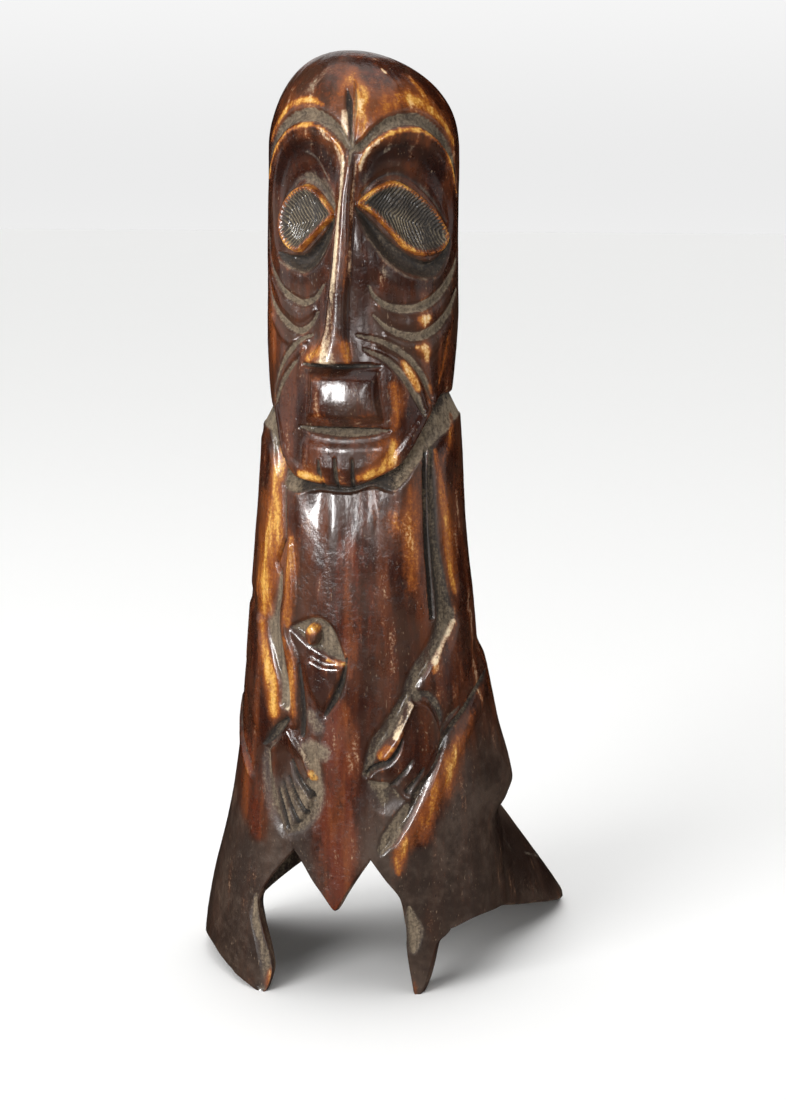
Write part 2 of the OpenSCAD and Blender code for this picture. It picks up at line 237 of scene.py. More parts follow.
def side_seam(z):
    """Angle of the seam between the left leg and the side panel, above the notch between them."""
    return mix(56, 54, (z - SIDE_NOTCH_Z) / (SPLIT - SIDE_NOTCH_Z))


def collar_line(p):
    """The collar's lower edge, which runs close under the chin in front."""
    return mix(COLLAR(p), JAW(p) - 1.5, ease((36 - np.abs(turn(p) - 3)) / 24))


def shaft_r(p, z):
    """Radius of the plain bone, a rounded shaft that ends in a dome."""
    a = STATIONS(z, 0)
    d = np.where(np.cos(np.radians(p)) > 0, STATIONS(z, 1), STATIONS(z, 2))
    n = STATIONS(z, 3)
    s, c = np.abs(np.sin(np.radians(p))), np.abs(np.cos(np.radians(p)))
    over = np.clip((z - DOME_Z) / (NOMINAL_H - DOME_Z), 0, 1)
    return ((s / a) ** n + (c / d) ** n) ** (-1 / n) * np.sqrt(1 - over * over)


def flare(p, z):
    """The bone's flare at the rear feet, the left hip flange and the set of the front feet."""
    low = np.clip(45 - np.maximum(z, FOOT_ROUND), 0, 45) / (45 - FOOT_ROUND)
    return (34 * low ** 0.72 * bell(turn(p, 147) / 26)
            + 7 * ease((50 - z) / 50) * bell(turn(p, -104) / 30)
            + 6 * FLANGE(z) * bell(turn(p, 112) / 26)
            + ease((40 - z) / 40) * (2.5 * bell(turn(p, -40) / 20)
                                     - 4.5 * bell(turn(p, 38) / 20)))


def bowl(p, z, p0, z0, w, h):
    """An oval dish of depth 1 round a place."""
    return ease(1.25 * (1 - np.hypot((p - p0) / w, (z - z0) / h)))


def hollows(p, z):
    """The two eye sockets and the hollow cheeks."""
    p = turn(p)
    return np.where(z < 150, 0.0,
                    -2.6 * np.maximum(bowl(p, z, -27, 194, 31, 18), bowl(p, z, 40, 194, 42, 18))
                    - 1.2 * np.maximum(bowl(p, z, -22, 170, 24, 18), bowl(p, z, 26, 170, 26, 18)))


def skin_r(p, z):
    return shaft_r(p, z) + flare(p, z) + hollows(p, z)


def cut_through(p, z):
    """Angle of the inner face behind a place at the front of the feet, where the cuts run straight
    back through the wall and not towards the axis."""
    p = turn(p)
    r = skin_r(p, z)
    straight = np.degrees(np.arcsin(np.clip(r / (r - WALL) * np.sin(np.radians(p)), -0.98, 0.98)))
    share = ease((65 - np.abs(p)) / 20) * ease((60 - z) / 26)
    return p + share * (straight - p)


def place(p, z, r):
    """Points in metres, in the part's frame, from angle, height and radius. The crown's top leans
    over to the figure's right."""
    lean = 3.4 * (np.clip(z - 214, 0, None) / 16) ** 2
    x = STATIONS(z, 4) - lean + r * np.sin(np.radians(p)) - CENTRE_X
    y = -r * np.cos(np.radians(p)) - CENTRE_Y
    return np.stack([x, y, z + 0 * r], axis=-1) * MM


# ---------------------------------------------------------------- the carving

# Outlines of the raised sections and the sunk grounds, as angle and height
EYES = {
    "left": [[10, 194.2], [17, 197], [26, 198.8], [36, 199.4], [48, 197.6], [60, 194.4], [69, 190.4],
        [74, 186.4], [69, 183.4], [60, 182.2], [50, 182.2], [41, 183.8], [31, 187.4], [20, 191.4]],
    "right": [[-5, 191.6], [-14, 195.6], [-27, 198.6], [-39, 197.6], [-48, 193.6], [-49, 188], [-42, 184],
        [-33, 182.8], [-25, 185], [-15, 188.4]]}
UPPER_ARMS = {
    "left": [[60, 134], [66, 138], [80, 139.6], [94, 138.6], [97, 124], [95, 108], [91, 98], [76, 96],
        [68, 97], [66, 104], [62, 112], [60, 124]],
    "right": [[-42, 133], [-54, 138], [-70, 139.5], [-84, 137], [-86, 120], [-84, 106], [-79, 99],
        [-62, 98], [-49, 96], [-43, 101], [-39.5, 110], [-39, 122]]}
FOREARMS = {
    "left": [[68, 94.6], [90, 95.6], [88, 87], [76, 79.6], [64, 73.6], [54, 70], [48, 76], [44, 80.5],
        [50, 84.6], [58, 88.6]],
    "right": [[-50, 94.6], [-78, 97], [-75, 87], [-67, 76], [-57, 67.4], [-47, 64], [-38, 69], [-36.5, 76],
        [-41, 84], [-47, 90]]}
HANDS = {
    "left": [[39, 76.2], [46, 75.4], [50, 72.5], [53, 68], [52.4, 63.5], [49.5, 59.5], [45, 56],
        [40.5, 52.4], [36, 50.8], [31.6, 52.6], [27.6, 55.2], [22, 55.6], [15, 56.8], [19, 59.6],
        [23.4, 61], [21, 62.6], [24.4, 65], [28.4, 67.6], [31.4, 71], [34.6, 74.6]],
    "right": [[-41, 61.6], [-37, 63.4], [-33, 65.4], [-28.6, 68.4], [-25, 66.8], [-20, 62.6], [-15.6, 58.8],
        [-13.2, 56], [-15, 54.8], [-17, 55.2], [-14.6, 51.2], [-15.4, 48.8], [-19.4, 45.6], [-23.8, 43.2],
        [-29, 41.4], [-33, 45.2], [-36.2, 49.6], [-39, 54], [-40.6, 58]]}
UPPER_LIP = [
    [-21, 156], [0, 156.4], [21, 156], [24, 155], [24.5, 149.5], [26, 143.6], [14, 142.6], [1, 142.2],
    [-12, 142.6], [-22, 143.4], [-21.5, 149.5], [-22, 155]]
LOWER_LIP = [
    [-25, 141.4], [-12, 141.1], [2, 140.9], [16, 141], [28, 141.6], [24, 139.4], [14, 138.6], [2, 138.3],
    [-10, 138.5], [-20, 139.3]]
CHIN = [
    [-22, 138], [-9, 137.3], [2, 137.1], [14, 137.4], [27, 138.2], [31, 135], [22, 130.8], [12, 129.4],
    [3, 128.9], [-8, 129.2], [-18, 130], [-26, 132]]
CHIN_MASS = [
    [-23, 140], [2, 139.9], [28, 140.3], [31, 135], [22, 130.8], [12, 129.4], [3, 128.9], [-8, 129.2],
    [-18, 130], [-26, 132]]
KNOB_AT, KNOB_SIZE = (-14.6, 92.0), (4.6, 3.1)
LEAF = [
    [-20, 84], [-17, 86.4], [-8, 84.9], [1.6, 84.7], [2.4, 83], [-1.6, 78], [-8.2, 73], [-13, 75.2],
    [-17.6, 78.6]]
SOCKETS = [
    [[1, 205.4], [-6, 208.2], [-20, 210.4], [-35, 209.4], [-49, 205.6], [-58, 197], [-55, 186],
        [-40, 179.4], [-25, 177.6], [-12, 183.4], [-3, 190], [0, 198]],
    [[11, 205.4], [18, 207.4], [31, 209.4], [46, 209.2], [60, 206.6], [77, 199], [84, 189], [70, 180],
        [52, 176.4], [34, 179], [20, 184.6], [9.6, 190.4], [8.4, 198]]]
KNOB_RECESS = [
    [-30, 93.2], [-22, 95.6], [-11, 96.6], [-3, 94.4], [2, 89.8], [4.6, 85.4], [-2, 85.8], [-8, 86.9],
    [-18, 89], [-25, 91.2]]
HAND_RECESSES = {
    "left": [[13, 60.6], [11.6, 54.8], [16.6, 49.6], [24, 47.2], [30, 48], [36, 49.6], [42, 50], [47, 53.4],
        [52, 60], [47, 62], [38, 58], [26, 61], [19, 62]],
    "right": [[-49, 62.4], [-46, 53.6], [-42, 46.4], [-35.5, 41], [-26.5, 39.2], [-15, 41.6], [-7.4, 46],
        [-3.4, 52], [-4.4, 57.4], [-7, 62], [-12, 66.6], [-20, 64], [-30, 66.4], [-40, 64.4]]}
RECESS_DIRT = {"left": (0.42, 0.6), "right": (0.8, 0.1)}  # pale and dark

# Raised strips, as angle, height and width
BROWS = {
    "left": [[11, 203.4, 1.4], [15, 206.2, 1.8], [21, 208.4, 2], [31, 210.4, 2.2], [45, 211.1, 2.2],
        [57, 209.6, 2], [67, 206.8, 1.8], [76, 202.8, 1.6], [84, 196.6, 1.2]],
    "right": [[-62, 200, 1.2], [-54, 205.6, 1.6], [-45, 209.2, 1.8], [-35, 211.4, 2], [-22, 212.2, 2],
        [-13, 211.2, 1.8], [-4, 208.5, 1.8], [1, 205.2, 1.4]]}
SCARS = {
    "left": [
        [[23, 171, 1.6], [32, 167.6, 2.6], [44, 166.6, 3], [58, 167.9, 3], [72, 171.4, 2.6],
            [86, 175.6, 1.8]],
        [[28, 163.6, 1.4], [42, 161.2, 2.4], [54, 160, 3], [66, 162, 2.8], [80, 167, 1.8]],
        [[22, 160.6, 1.2], [33, 158.4, 1.8], [42, 154.6, 2.2], [49, 149.6, 2], [52, 146.4, 1.2]]],
    "right": [
        [[-56, 176.4, 1.6], [-42, 170.6, 2.4], [-30, 168, 2.6], [-20, 169.4, 1.6]],
        [[-56, 167.6, 1.6], [-42, 163.4, 2.4], [-31, 161.6, 2], [-24, 162.4, 1.2]],
        [[-50, 147.4, 1.2], [-44, 152.4, 1.8], [-36, 157, 2], [-26, 160.4, 1.2]]]}
CLOAKS = {
    "left": [[97, 80, 2.6], [84, 72, 3], [72, 68, 3.4], [61, 62.6, 3.6], [53, 57, 3.6], [45, 50, 3.4],
        [38, 44.4, 3], [31, 39.6, 2.2]],
    "right": [[-82, 70, 2], [-70, 62.6, 2.4], [-60, 57, 2.2], [-52, 53, 1.6]]}
# Further raised strips: how high, and the line
STRIPS = [
    (0.7, [[-30, 113, 1.2], [-29.5, 106, 2.2], [-29.5, 100, 2.8], [-32, 95, 1.8], [-31.6, 91, 1.8],
        [-28, 86, 2.8], [-25.5, 80, 3], [-24, 74, 2.6], [-24.4, 69, 1.4]]),
    (0.6, [[38, 76.4, 1.4], [33, 71.2, 2], [29, 66.4, 2.2], [26, 63.6, 2.2], [22.6, 62, 1.6]]),
    (0.5, [[-27, 69, 1.2], [-22, 63.8, 1.6], [-17, 59, 1.8], [-14.2, 56.2, 1.4]]),
    (0.35, [[-47, 146, 1.4], [-38, 136, 2], [-26, 131.4, 2.2], [3, 129.8, 2.4], [20, 131.8, 2.4],
        [34, 135, 2.4], [56, 146.4, 2.2], [72, 151, 1.6]])]

# Cuts: depth, how far the deepest line lies to the left (-1 to 1), how much pale dirt the cut holds,
# how dark it is filled (dark dirt, and painted shadow in the deeper cuts and undercuts), and the line
# as angle, height and width
CUTS = [
    # forehead: the groove between the brows and the notch beside it
    (0.7, 0, 0.75, 0.3, [[9.4, 222, 0.8], [9, 218.6, 1.6], [8, 214.5, 1.7], [7, 210.4, 1.7],
        [5.6, 206.6, 1.4], [5, 203, 0.6]]),
    (1.4, 0.5, 0, 1, [[2.4, 219.6, 1.2], [3.4, 217, 2.6], [4.6, 213.4, 1.8], [5.4, 210, 0.8]]),
    # brow grooves, deepest under the forehead's edge; the figure's right one is filled paler and the
    # left one darker, partly dirt and partly painted light and shadow
    (1.5, 0.45, 0.55, 0.7, [[6, 206.4, 1.6], [13, 207.4, 3], [20, 210, 3.4], [30, 212.3, 3.7],
        [45, 213.2, 3.9], [58, 211.5, 3.7], [70, 208.2, 3.4], [80, 203.4, 2.8], [88, 196, 1.6]]),
    (1.5, 0.45, 1, 0.1, [[-66, 202, 1.4], [-57, 208.4, 2.8], [-47, 211.6, 3.3], [-37, 213.6, 3.5],
        [-24, 214.3, 3.5], [-13, 213.4, 3.3], [-3, 210.8, 3.1], [4, 207.2, 1.6]]),
    # round the eyes; the dark fill of the wide facets under them is painted shadow
    (0.55, -0.4, 0.1, 0.35, [[12, 196.6, 0.9], [22, 200, 1.6], [36, 201.4, 2], [52, 199.4, 2],
        [66, 195, 1.6], [76, 190, 0.9]]),
    (0.55, -0.4, 0.3, 0.2, [[-51, 193, 0.9], [-40, 199.4, 1.8], [-27, 200.6, 2.2], [-14, 197.6, 2],
        [-5, 193.6, 0.9]]),
    (2.1, 0.55, 0, 1, [[8.6, 193, 1], [17, 188.6, 3.6], [29, 183.6, 5.2], [42, 180.2, 5.4],
        [56, 178.6, 4.6], [68, 180.2, 3.2], [77, 184.6, 1.4]]),
    (2.1, 0.55, 0, 1, [[-48, 182.4, 1], [-38, 180.6, 3.2], [-26, 180.4, 5.2], [-15, 184, 5],
        [-6, 190, 1.4]]),
    # cheeks
    (0.95, -0.3, 0.85, 0.35, [[17, 175.4, 0.7], [21, 172.6, 1.4], [30, 170.4, 2.2], [42, 169.9, 2.6],
        [56, 171.2, 2.8], [72, 175, 2.8], [86, 179.8, 2.2], [97, 185, 1.2]]),
    (0.95, -0.3, 0.85, 0.35, [[20, 168.4, 0.7], [30, 165.2, 1.8], [45, 163.4, 2.6], [60, 164.8, 3],
        [74, 168.4, 2.8], [90, 173.4, 2]]),
    (0.85, 0.2, 0.85, 0.35, [[10, 163.8, 0.7], [24, 162.4, 1.6], [38, 159.4, 2], [49, 154.8, 2],
        [56, 149.6, 1.8], [58.4, 146, 1]]),
    (0.85, 0.2, 0.85, 0.35, [[14, 160.6, 0.7], [28, 157.8, 1.8], [38, 153.8, 2.2], [46, 149, 2.2],
        [51, 144.8, 1.2]]),
    (0.85, -0.3, 0.8, 0.4, [[-68, 189, 0.7], [-61, 181, 1.4], [-50, 176.4, 1.8], [-41, 173.4, 2],
        [-29, 171.2, 2.2], [-19, 172.2, 1.6], [-12, 175.4, 0.8]]),
    (0.85, -0.3, 0.8, 0.4, [[-64, 177, 0.9], [-55, 171, 1.7], [-42, 166.8, 2.1], [-30, 164.5, 2],
        [-22, 166, 1.5], [-16.6, 168.8, 0.8]]),
    (0.8, 0.2, 0.7, 0.4, [[-52, 145.4, 1.2], [-49, 150, 1.8], [-44, 154.9, 2], [-35, 160, 1.8],
        [-27, 162.5, 1.4], [-20, 163.6, 0.8]]),
    (0.7, 0.2, 0.6, 0.4, [[-49, 145.4, 0.9], [-42, 151.4, 1.4], [-36, 154.8, 1.4], [-30, 157.4, 0.8]]),
    # under the nose, the mouth and the beard; the dark fill under the nose's ledge, in the mouth's slit
    # and in the beard's notches is painted shadow
    (1.3, 0.2, 0.1, 0.9, [[-25, 156.7, 0.8], [-16, 156.6, 1.3], [0, 156.5, 1.6], [16, 156.6, 1.2],
        [24, 156.6, 0.6]]),
    (1.8, 0.8, 0.9, 0, [[-26, 141.7, 0.8], [-12, 141, 1.8], [2, 140.7, 2.3], [16, 140.9, 1.8],
        [29, 141.5, 0.8]]),
    (2.3, 0.3, 0, 1, [[-20, 141.9, 0.4], [-10, 141.8, 0.9], [2, 141.7, 1.1], [14, 141.7, 0.9],
        [24, 141.8, 0.4]]),
    (1, 0, 0.2, 0.9, [[-12, 134.2, 0.7], [-11.6, 131, 1.4], [-11, 128, 1.4]]),
    (1.1, 0, 0.2, 0.9, [[-2.4, 134.8, 0.7], [-2, 131, 1.3], [-1.4, 128, 1.3]]),
    (0.9, 0, 0.2, 0.9, [[7.6, 134.6, 0.7], [7.8, 131, 1.2], [8, 128.2, 1.2]]),
    # left arm: a deep narrow groove and a wide floor that opens at the inner elbow
    (1.8, 0, 0, 1, [[51.6, 136, 1], [50.2, 131.6, 1.7], [49.9, 117, 1.8], [50.6, 105.6, 1.8],
        [51, 96, 1.6]]),
    (1.75, 0.3, 0.3, 0.9, [[55.2, 136.4, 1.8], [54.8, 130, 3.2], [54.6, 118, 3.6], [55.6, 110.8, 3.9],
        [58, 101.4, 5.2], [60.4, 95.4, 6.8]]),
    (1.4, 0.5, 0.42, 0.6, [[60.4, 96, 6.4], [55.4, 91.6, 5.4], [49.6, 87.9, 4.9], [44, 84.4, 4.5],
        [39.6, 81, 4.2], [38, 78.4, 4.2], [41, 77, 3.6]]),
    (1.4, 0.5, 0.42, 0.6, [[36, 77.6, 2.4], [31, 73.2, 3.4], [26.4, 69.6, 3.8], [21, 66.4, 3.8],
        [17.4, 62.6, 3], [15, 58, 2.4]]),
    (0.9, 0, 0.2, 0.7, [[41, 77.2, 2.4], [47, 77.2, 2.4], [52, 73.8, 1.6], [54, 70, 0.8]]),
    # right arm: the split groove, then the wide one along the forearm, and the wrist, whose dark fill
    # is painted shadow under the sleeve
    (0.8, 0, 0.2, 0.6, [[-37, 134, 0.9], [-36.4, 130, 1.5], [-35.4, 124, 1.4], [-34.4, 118, 1.2],
        [-34.2, 114, 1.2]]),
    (1.7, 0, 0, 1, [[-34.2, 114.4, 0.8], [-38.8, 108.8, 1.3], [-36.8, 106, 0.9]]),
    (1.2, -0.2, 0.85, 0, [[-36.4, 106.4, 1.4], [-37.6, 101, 2.8], [-40.8, 97, 4.6], [-41, 92.6, 5],
        [-38, 88, 4.6], [-35, 83.4, 3.8], [-31.6, 78.6, 3.4], [-31.4, 74, 3.4]]),
    (1.1, 0, 0, 1, [[-22.6, 84, 0.8], [-21, 78, 1.4], [-20, 71.6, 1.8], [-20.4, 66.6, 1.4]]),
    (1.4, 0.2, 0.1, 1, [[-45, 62.4, 0.9], [-40, 64.6, 2.4], [-35, 67.4, 2.8], [-29.6, 70, 1.6]]),
    # beside the leaf
    (1.2, -0.3, 0.1, 1, [[4.6, 86.4, 0.7], [2.6, 81.4, 1.6], [-1.4, 76.8, 2], [-7, 72.4, 1.2]]),
    # folds of the cloak
    (1.1, -0.3, 0.25, 0.8, [[101, 80.6, 0.9], [91, 77.4, 1.6], [81.6, 75.6, 1.7], [70.4, 71.8, 1.9],
        [59.2, 68, 1.9], [53.6, 63.8, 1.9], [46, 56.6, 1.9], [38.8, 49.8, 1.7], [33, 44, 1.2]]),
    (0.5, 0, 0.3, 0.5, [[66, 72.6, 0.7], [57.4, 70.4, 1], [51.6, 65, 1.1], [46.4, 60.6, 1.1],
        [41.4, 55.4, 1.1], [36, 50.6, 0.7]]),
    (1.2, 0.6, 0.8, 0, [[35, 49.6, 2.4], [31, 46, 3.6], [26, 41.8, 3.8], [22.6, 38.8, 2.2]]),
    (0.45, -0.3, 0.3, 0.4, [[-84, 73, 0.7], [-72, 65.6, 1.3], [-62, 60.4, 1.2], [-54, 57, 0.7]]),
    # the bevel inside the right front leg and the scraped facet inside the left one
    (0.8, 0.3, 0.5, 0, [[-43.4, 24, 1], [-43.6, 20, 2.4], [-41, 16, 2.6], [-37, 11, 2.6], [-34.6, 6, 2.6],
        [-36, 1, 2.2]]),
    (0.7, 0, 0.9, 0, [[37.4, 23.6, 1], [40, 19, 3], [41, 14.6, 3], [41, 11.4, 1]])]

# Cuts made in the raised parts afterwards: between the fingers, with painted shadow in them
FINGERS = [
    (1.35, 0.2, 0, 1, [[-26.4, 60, 0.7], [-22.2, 55.6, 1.4], [-15, 51.2, 1.6]]),
    (1.3, 0.2, 0, 1, [[-28, 55.8, 0.6], [-23.2, 50.4, 1.2], [-18, 47, 1.4]]),
    (1.3, 0.2, 0, 1, [[-31.2, 54.2, 0.6], [-27.4, 49, 1.2], [-22.6, 44.6, 1.4]]),
    (1.3, 0.2, 0, 1, [[-34, 52.4, 0.6], [-31, 47.4, 1.2], [-28, 42.8, 1.4]]),
    (1.5, 0.2, 0, 1, [[15.4, 58.2, 0.8], [20, 59.8, 1.6], [26, 61.3, 1.6], [30.2, 63.8, 1.3],
        [32.8, 67, 0.6]]),
    (0.9, 0.3, 0.2, 0.8, [[37.4, 61.4, 0.6], [33.4, 58.6, 1.2], [29, 55.6, 1.5]]),
    (0.9, 0.3, 0.2, 0.8, [[42.8, 59.4, 0.6], [39.4, 56.6, 1.2], [35.6, 53.6, 1.5]]),
    (0.8, 0.3, 0.2, 0.8, [[46.4, 58, 0.6], [42.6, 55.4, 1.2], [38.4, 52.4, 1.4]])]

HATCH_PITCH = 1.05
EYE_AXES = {"left": ((10, 194), (75, 186.8)), "right": ((-5, 191.8), (-49, 188.4))}  # inner, outer corner


def nose(p, z):
    """Height of the nose over the face: a flat-topped ridge on a broad hill, cut off below."""
    line = table([[157, -7, 6.0, 2.7, 9.5], [158.6, -6.4, 5.4, 2.6, 9.0], [161, -5.0, 4.2, 2.4, 8.6],
                  [165, -3.4, 2.7, 2.2, 8], [172, -2.2, 2.2, 2.1, 7.2], [180, 0.2, 2.0, 2.0, 6.4],
                  [188, 1.6, 1.8, 1.9, 5.8], [195, 2.6, 1.4, 1.7, 5.0], [202, 4.6, 0.9, 1.2, 3.6],
                  [207, 5.6, 0.4, 0.4, 2.0]])
    x = np.abs(turn(p) - line(z, 0)) * MM_PER_DEGREE
    ridge = ease((line(z, 1) + 0.7 - x) / 1.4)
    hill = ease(1 - x / line(z, 3))
    height = -1.3 + (1.3 + 0.45 * line(z, 2)) * hill + 0.55 * line(z, 2) * ridge
    reach = ease((z - 156.6) / 0.6) * ease((208 - z) / 3)
    return np.where(reach > 0, mix(-1.3, height, reach), -9.0)


def cut_profile(u, lean):
    """Depth across a cut, from 0 at its borders (u is -1 or 1) to 1 at the deepest line."""
    t = np.clip(np.where(u < lean, (u + 1) / (lean + 1), (1 - u) / (1 - lean)), 0, 1)
    return 1 - (1 - t) ** 1.7


def cut_along(cuts, p, z):
    """Depth of the cuts, where they meet the deepest one counts, the pale dirt, and the dark fill
    of dark dirt and painted shadow.
    """
    cut, dirt, dark_dirt_and_shade = np.zeros(p.shape), np.zeros(p.shape), np.zeros(p.shape)
    for depth, lean, pale, dark, points in cuts:
        line = curve(points)
        away, side, (width,) = near(line, p, z)
        u = np.where(np.isinf(away), 9.0, side * away / np.maximum(width / 2, 1e-3))
        shape = cut_profile(u, lean)
        widest = line[:, 2].max()
        cut = np.maximum(cut, depth * shape * np.clip(width / widest, 0, 1) ** 0.6)
        dirt = np.maximum(dirt, pale * ease(shape * 1.6))
        dark_dirt_and_shade = np.maximum(dark_dirt_and_shade, dark * ease(shape * 1.6))
    return cut, dirt, dark_dirt_and_shade


def plateau(outline, p, z, height, slope):
    """An outline raised by that height, with a slope of that width inside its edge."""
    return height * ease(depth_inside(outline, p, z) / slope)


def carve(p, z):
    """Height of the carving over the plain skin in millimetres, its pale dirt, and its dark fill of
    dark dirt and painted shadow.
    """
    p = turn(p)
    d = np.zeros(p.shape)
    for outline in SOCKETS:
        d -= plateau(outline, p, z, 0.9, 2.6)
    d = np.maximum(d, nose(p, z))

    # the cuts, with the sunk grounds of the hands and the knob
    cut, dirt, dark_dirt_and_shade = cut_along(CUTS, p, z)
    recesses = [(HAND_RECESSES[side], 4.2, *RECESS_DIRT[side]) for side in SIDES]
    recesses.append((KNOB_RECESS, 1.3, 0.9, 0.0))
    for outline, slope, pale, dark in recesses:
        deep = plateau(outline, p, z, 1.0, slope)
        cut = np.maximum(cut, 1.3 * deep)
        dirt = np.maximum(dirt, pale * deep)
        dark_dirt_and_shade = np.maximum(dark_dirt_and_shade, dark * deep)

    for side in SIDES:
        # an eye is a raised almond with a sunk, hatched middle, and no cut crosses it
        within = depth_inside(EYES[side], p, z)
        lid = ease(within / 0.5)
        hatch, inner, _ = hatching(side, p, z, within)
        cut *= 1 - ease((within + 0.15) / 0.3)
        d += 1.75 * lid - 1.0 * ease((within - 0.9) / 2.0)
        d -= 0.35 * hatch
        dirt = dirt * (1 - lid)
        dark_dirt_and_shade = np.maximum(dark_dirt_and_shade * (1 - lid), inner)
        # a hand is cleaner than the ground round it, but for the right one's fingers
        hand = plateau(HANDS[side], p, z, 1.0, 0.8)
        kept = 0.2 + (0.7 * ease((58 - z) / 7) if side == "right" else 0.0)
        d += 1.25 * hand
        dirt = mix(dirt, kept * dirt, hand)
        dark_dirt_and_shade = mix(dark_dirt_and_shade, 0.2 * dark_dirt_and_shade, hand)
        d += plateau(UPPER_ARMS[side], p, z, 0.45, 3.0)
        d += plateau(FOREARMS[side], p, z, 0.55, 2.4)
        for strip in SCARS[side]:
            d += raised(strip, p, z, 0.4)
        d += raised(BROWS[side], p, z, 0.45)
        d += raised(CLOAKS[side], p, z, 0.55)
    for height, strip in STRIPS:
        d += raised(strip, p, z, height)

    # the block of the upper lip bulges in its middle
    lip = depth_inside(UPPER_LIP, p, z)
    bulge = np.clip(1 - ((z - 146.5) / 10.5) ** 2, 0, 1)
    d += ease(lip / 3.0) * (1.0 + 1.5 * bulge) + 0.6 * ease(lip / 6.5)
    for outline, height, slope in ((LOWER_LIP, 0.2, 1.3), (CHIN_MASS, 1.35, 3.6), (LEAF, 0.8, 1.0)):
        d += plateau(outline, p, z, height, slope)
    knob = 1 - from_knob(p, z)
    d += 2.6 * ease(knob / 0.3) + 0.3 * ease(knob)
    dirt *= 1 - ease(knob / 0.2)

    # the band under the jaw, deepest at the jaw, down to the collar's lower edge
    jaw, collar = JAW(p), collar_line(p)
    share = np.clip((z - collar) / np.maximum(jaw - collar, 0.5), 0, 1)
    band = ease((jaw + 0.1 - z) / 0.9) * ease((z - collar + 0.3) / 0.7)
    d -= band * (0.25 + 2.7 * share ** 0.9)
    to_side = ease((np.abs(p - 3) - 22) / 18)
    dirt = np.maximum(dirt * (1 - band), band * to_side * 0.95 * ease(1.7 * (1 - share)))
    # painted shadow under the jaw, darkest at the jaw and in front under the chin
    dark_dirt_and_shade = np.maximum(dark_dirt_and_shade, band * ease(1.6 * share + 0.9 * (1 - to_side)))

    # the head rounds in towards the jaw at its sides and back
    above_jaw = np.clip(1 - (z - jaw) / 20, 0, 1) ** 2 * ease((z - jaw + 1.2) / 1.2)
    d -= 1.7 * (1 - band) * above_jaw * ease((np.abs(p - 3) - 45) / 30)
    # the chest rounds in to the neck, with two faint lobes under it
    chest = ease((32 - np.abs(p - 4)) / 16) * (1 - band)
    d -= 2.0 * chest * np.clip((z - 108) / 19, 0, 1) ** 1.5 * ease((jaw + 1 - z) / 2)
    lobes = bell((p + 4) / 7) + 0.8 * bell((p - 15) / 6)
    d += 0.5 * lobes * bell((z - 119) / 8)
    # the rear feet end in a rounded edge
    d -= 0.9 * np.clip(1 - z / 2.0, 0, 1) ** 2 * (np.abs(turn(p, 180)) < 75)

    d -= cut
    between, dust, dark = cut_along(FINGERS, p, z)
    d -= between
    dirt = np.maximum(dirt * (1 - dark), dust)
    dark_dirt_and_shade = np.maximum(dark_dirt_and_shade, dark)
    return d + scraped(p * MM_PER_DEGREE, z), dirt, dark_dirt_and_shade


def scraped(x, z):
    """The unevenness of a surface scraped by hand, in three sizes."""
    return (0.10 * np.sin(x * 0.55 + 0.8 * np.sin(z * 0.11)) * np.sin(z * 0.17 + 1.3)
            + 0.04 * np.sin(x * 1.1 - z * 0.23 + 2.0) * np.sin(z * 0.31 + x * 0.2)
            + 0.012 * np.sin(x * 2.3 + z * 0.7) * np.sin(z * 0.9 - x * 0.6 + 1.0))


def from_knob(p, z):
    """0 at the navel knob's middle and 1 at its border."""
    return np.hypot((p - KNOB_AT[0]) / KNOB_SIZE[0], (z - KNOB_AT[1]) / KNOB_SIZE[1])


def raised(strip, p, z, height):
    """A rounded strip, as high as that along a line with widths."""
    away, _, (width,) = near(curve(strip), p, z)
    t = np.clip(1 - away / np.maximum(width * 0.75, 1e-3), 0, 1)
    return height * ease(t * 1.3)


def hatching(side, p, z, within):
    """Chevrons cut across an eye, pointing at the nose: their depth, the area that they fill and
    where in its stroke each place lies."""
    (p0, z0), (p1, z1) = EYE_AXES[side]
    ax, az = (p1 - p0) * MM_PER_DEGREE, z1 - z0
    length = math.hypot(ax, az)
    x, y = (p - p0) * MM_PER_DEGREE, z - z0
    along = (x * ax + y * az) / length
    across = (y * ax - x * az) / length
    phase = (along - 0.8 * np.abs(across) + 0.03 * across ** 2 + 0.25 * np.sin(along * 0.9)
             + 0.07 * np.sin(across * 1.9 + along * 0.7)) / HATCH_PITCH
    line = np.cos(2 * np.pi * phase)
    inner = ease((within - 0.9 + 0.35 * line) / 0.5)
    return inner * ease(line), inner, np.where(within > -1, phase, 0.0)


# ---------------------------------------------------------------- the mesh of the whole skin

# Sections of the shell below the waist: waist angles and number of columns
SECTIONS = [
    ("side_panel_right", -94, -60, 38), ("front_leg_right", -60, -24, 58),
    ("front_tongue", -24, 17, 66), ("front_leg_left", 17, 54, 60),
    ("side_panel_left", 54, 122, 74), ("rear_leg_left", 122, 168, 38),
    ("back_panel", 168, 218, 22), ("rear_leg_right", 218, 266, 20)]
SHELLS = {name for name, _, _, _ in SECTIONS}
RING_END = SECTIONS[-1][2]
LOW_ROWS = 76
WELD = 2000  # corners closer than 1 / 2000 are one vertex

# Solid sections: the heights at which their lower and upper inner faces meet the axis (None where
# that face is the marrow hollow), and the height that parts their lower border from the upper one
SOLIDS = {"skull_crown": (204.0, None, lambda p: 300), "head_core": (139.0, 204.0, lambda p: 180),
          "neck_collar": (132.0, 139.0, lambda p: 0.5 * (JAW(p) + collar_line(p))),
          "torso": (None, 132.0, lambda p: 90)}


def spread(*stretches):
    """Heights from stretches of (from, to, pitch)."""
    out = []
    for a, b, pitch in stretches:
        out.append(np.linspace(a, b, max(1, round((b - a) / pitch)), endpoint=False))
    return np.concatenate(out)


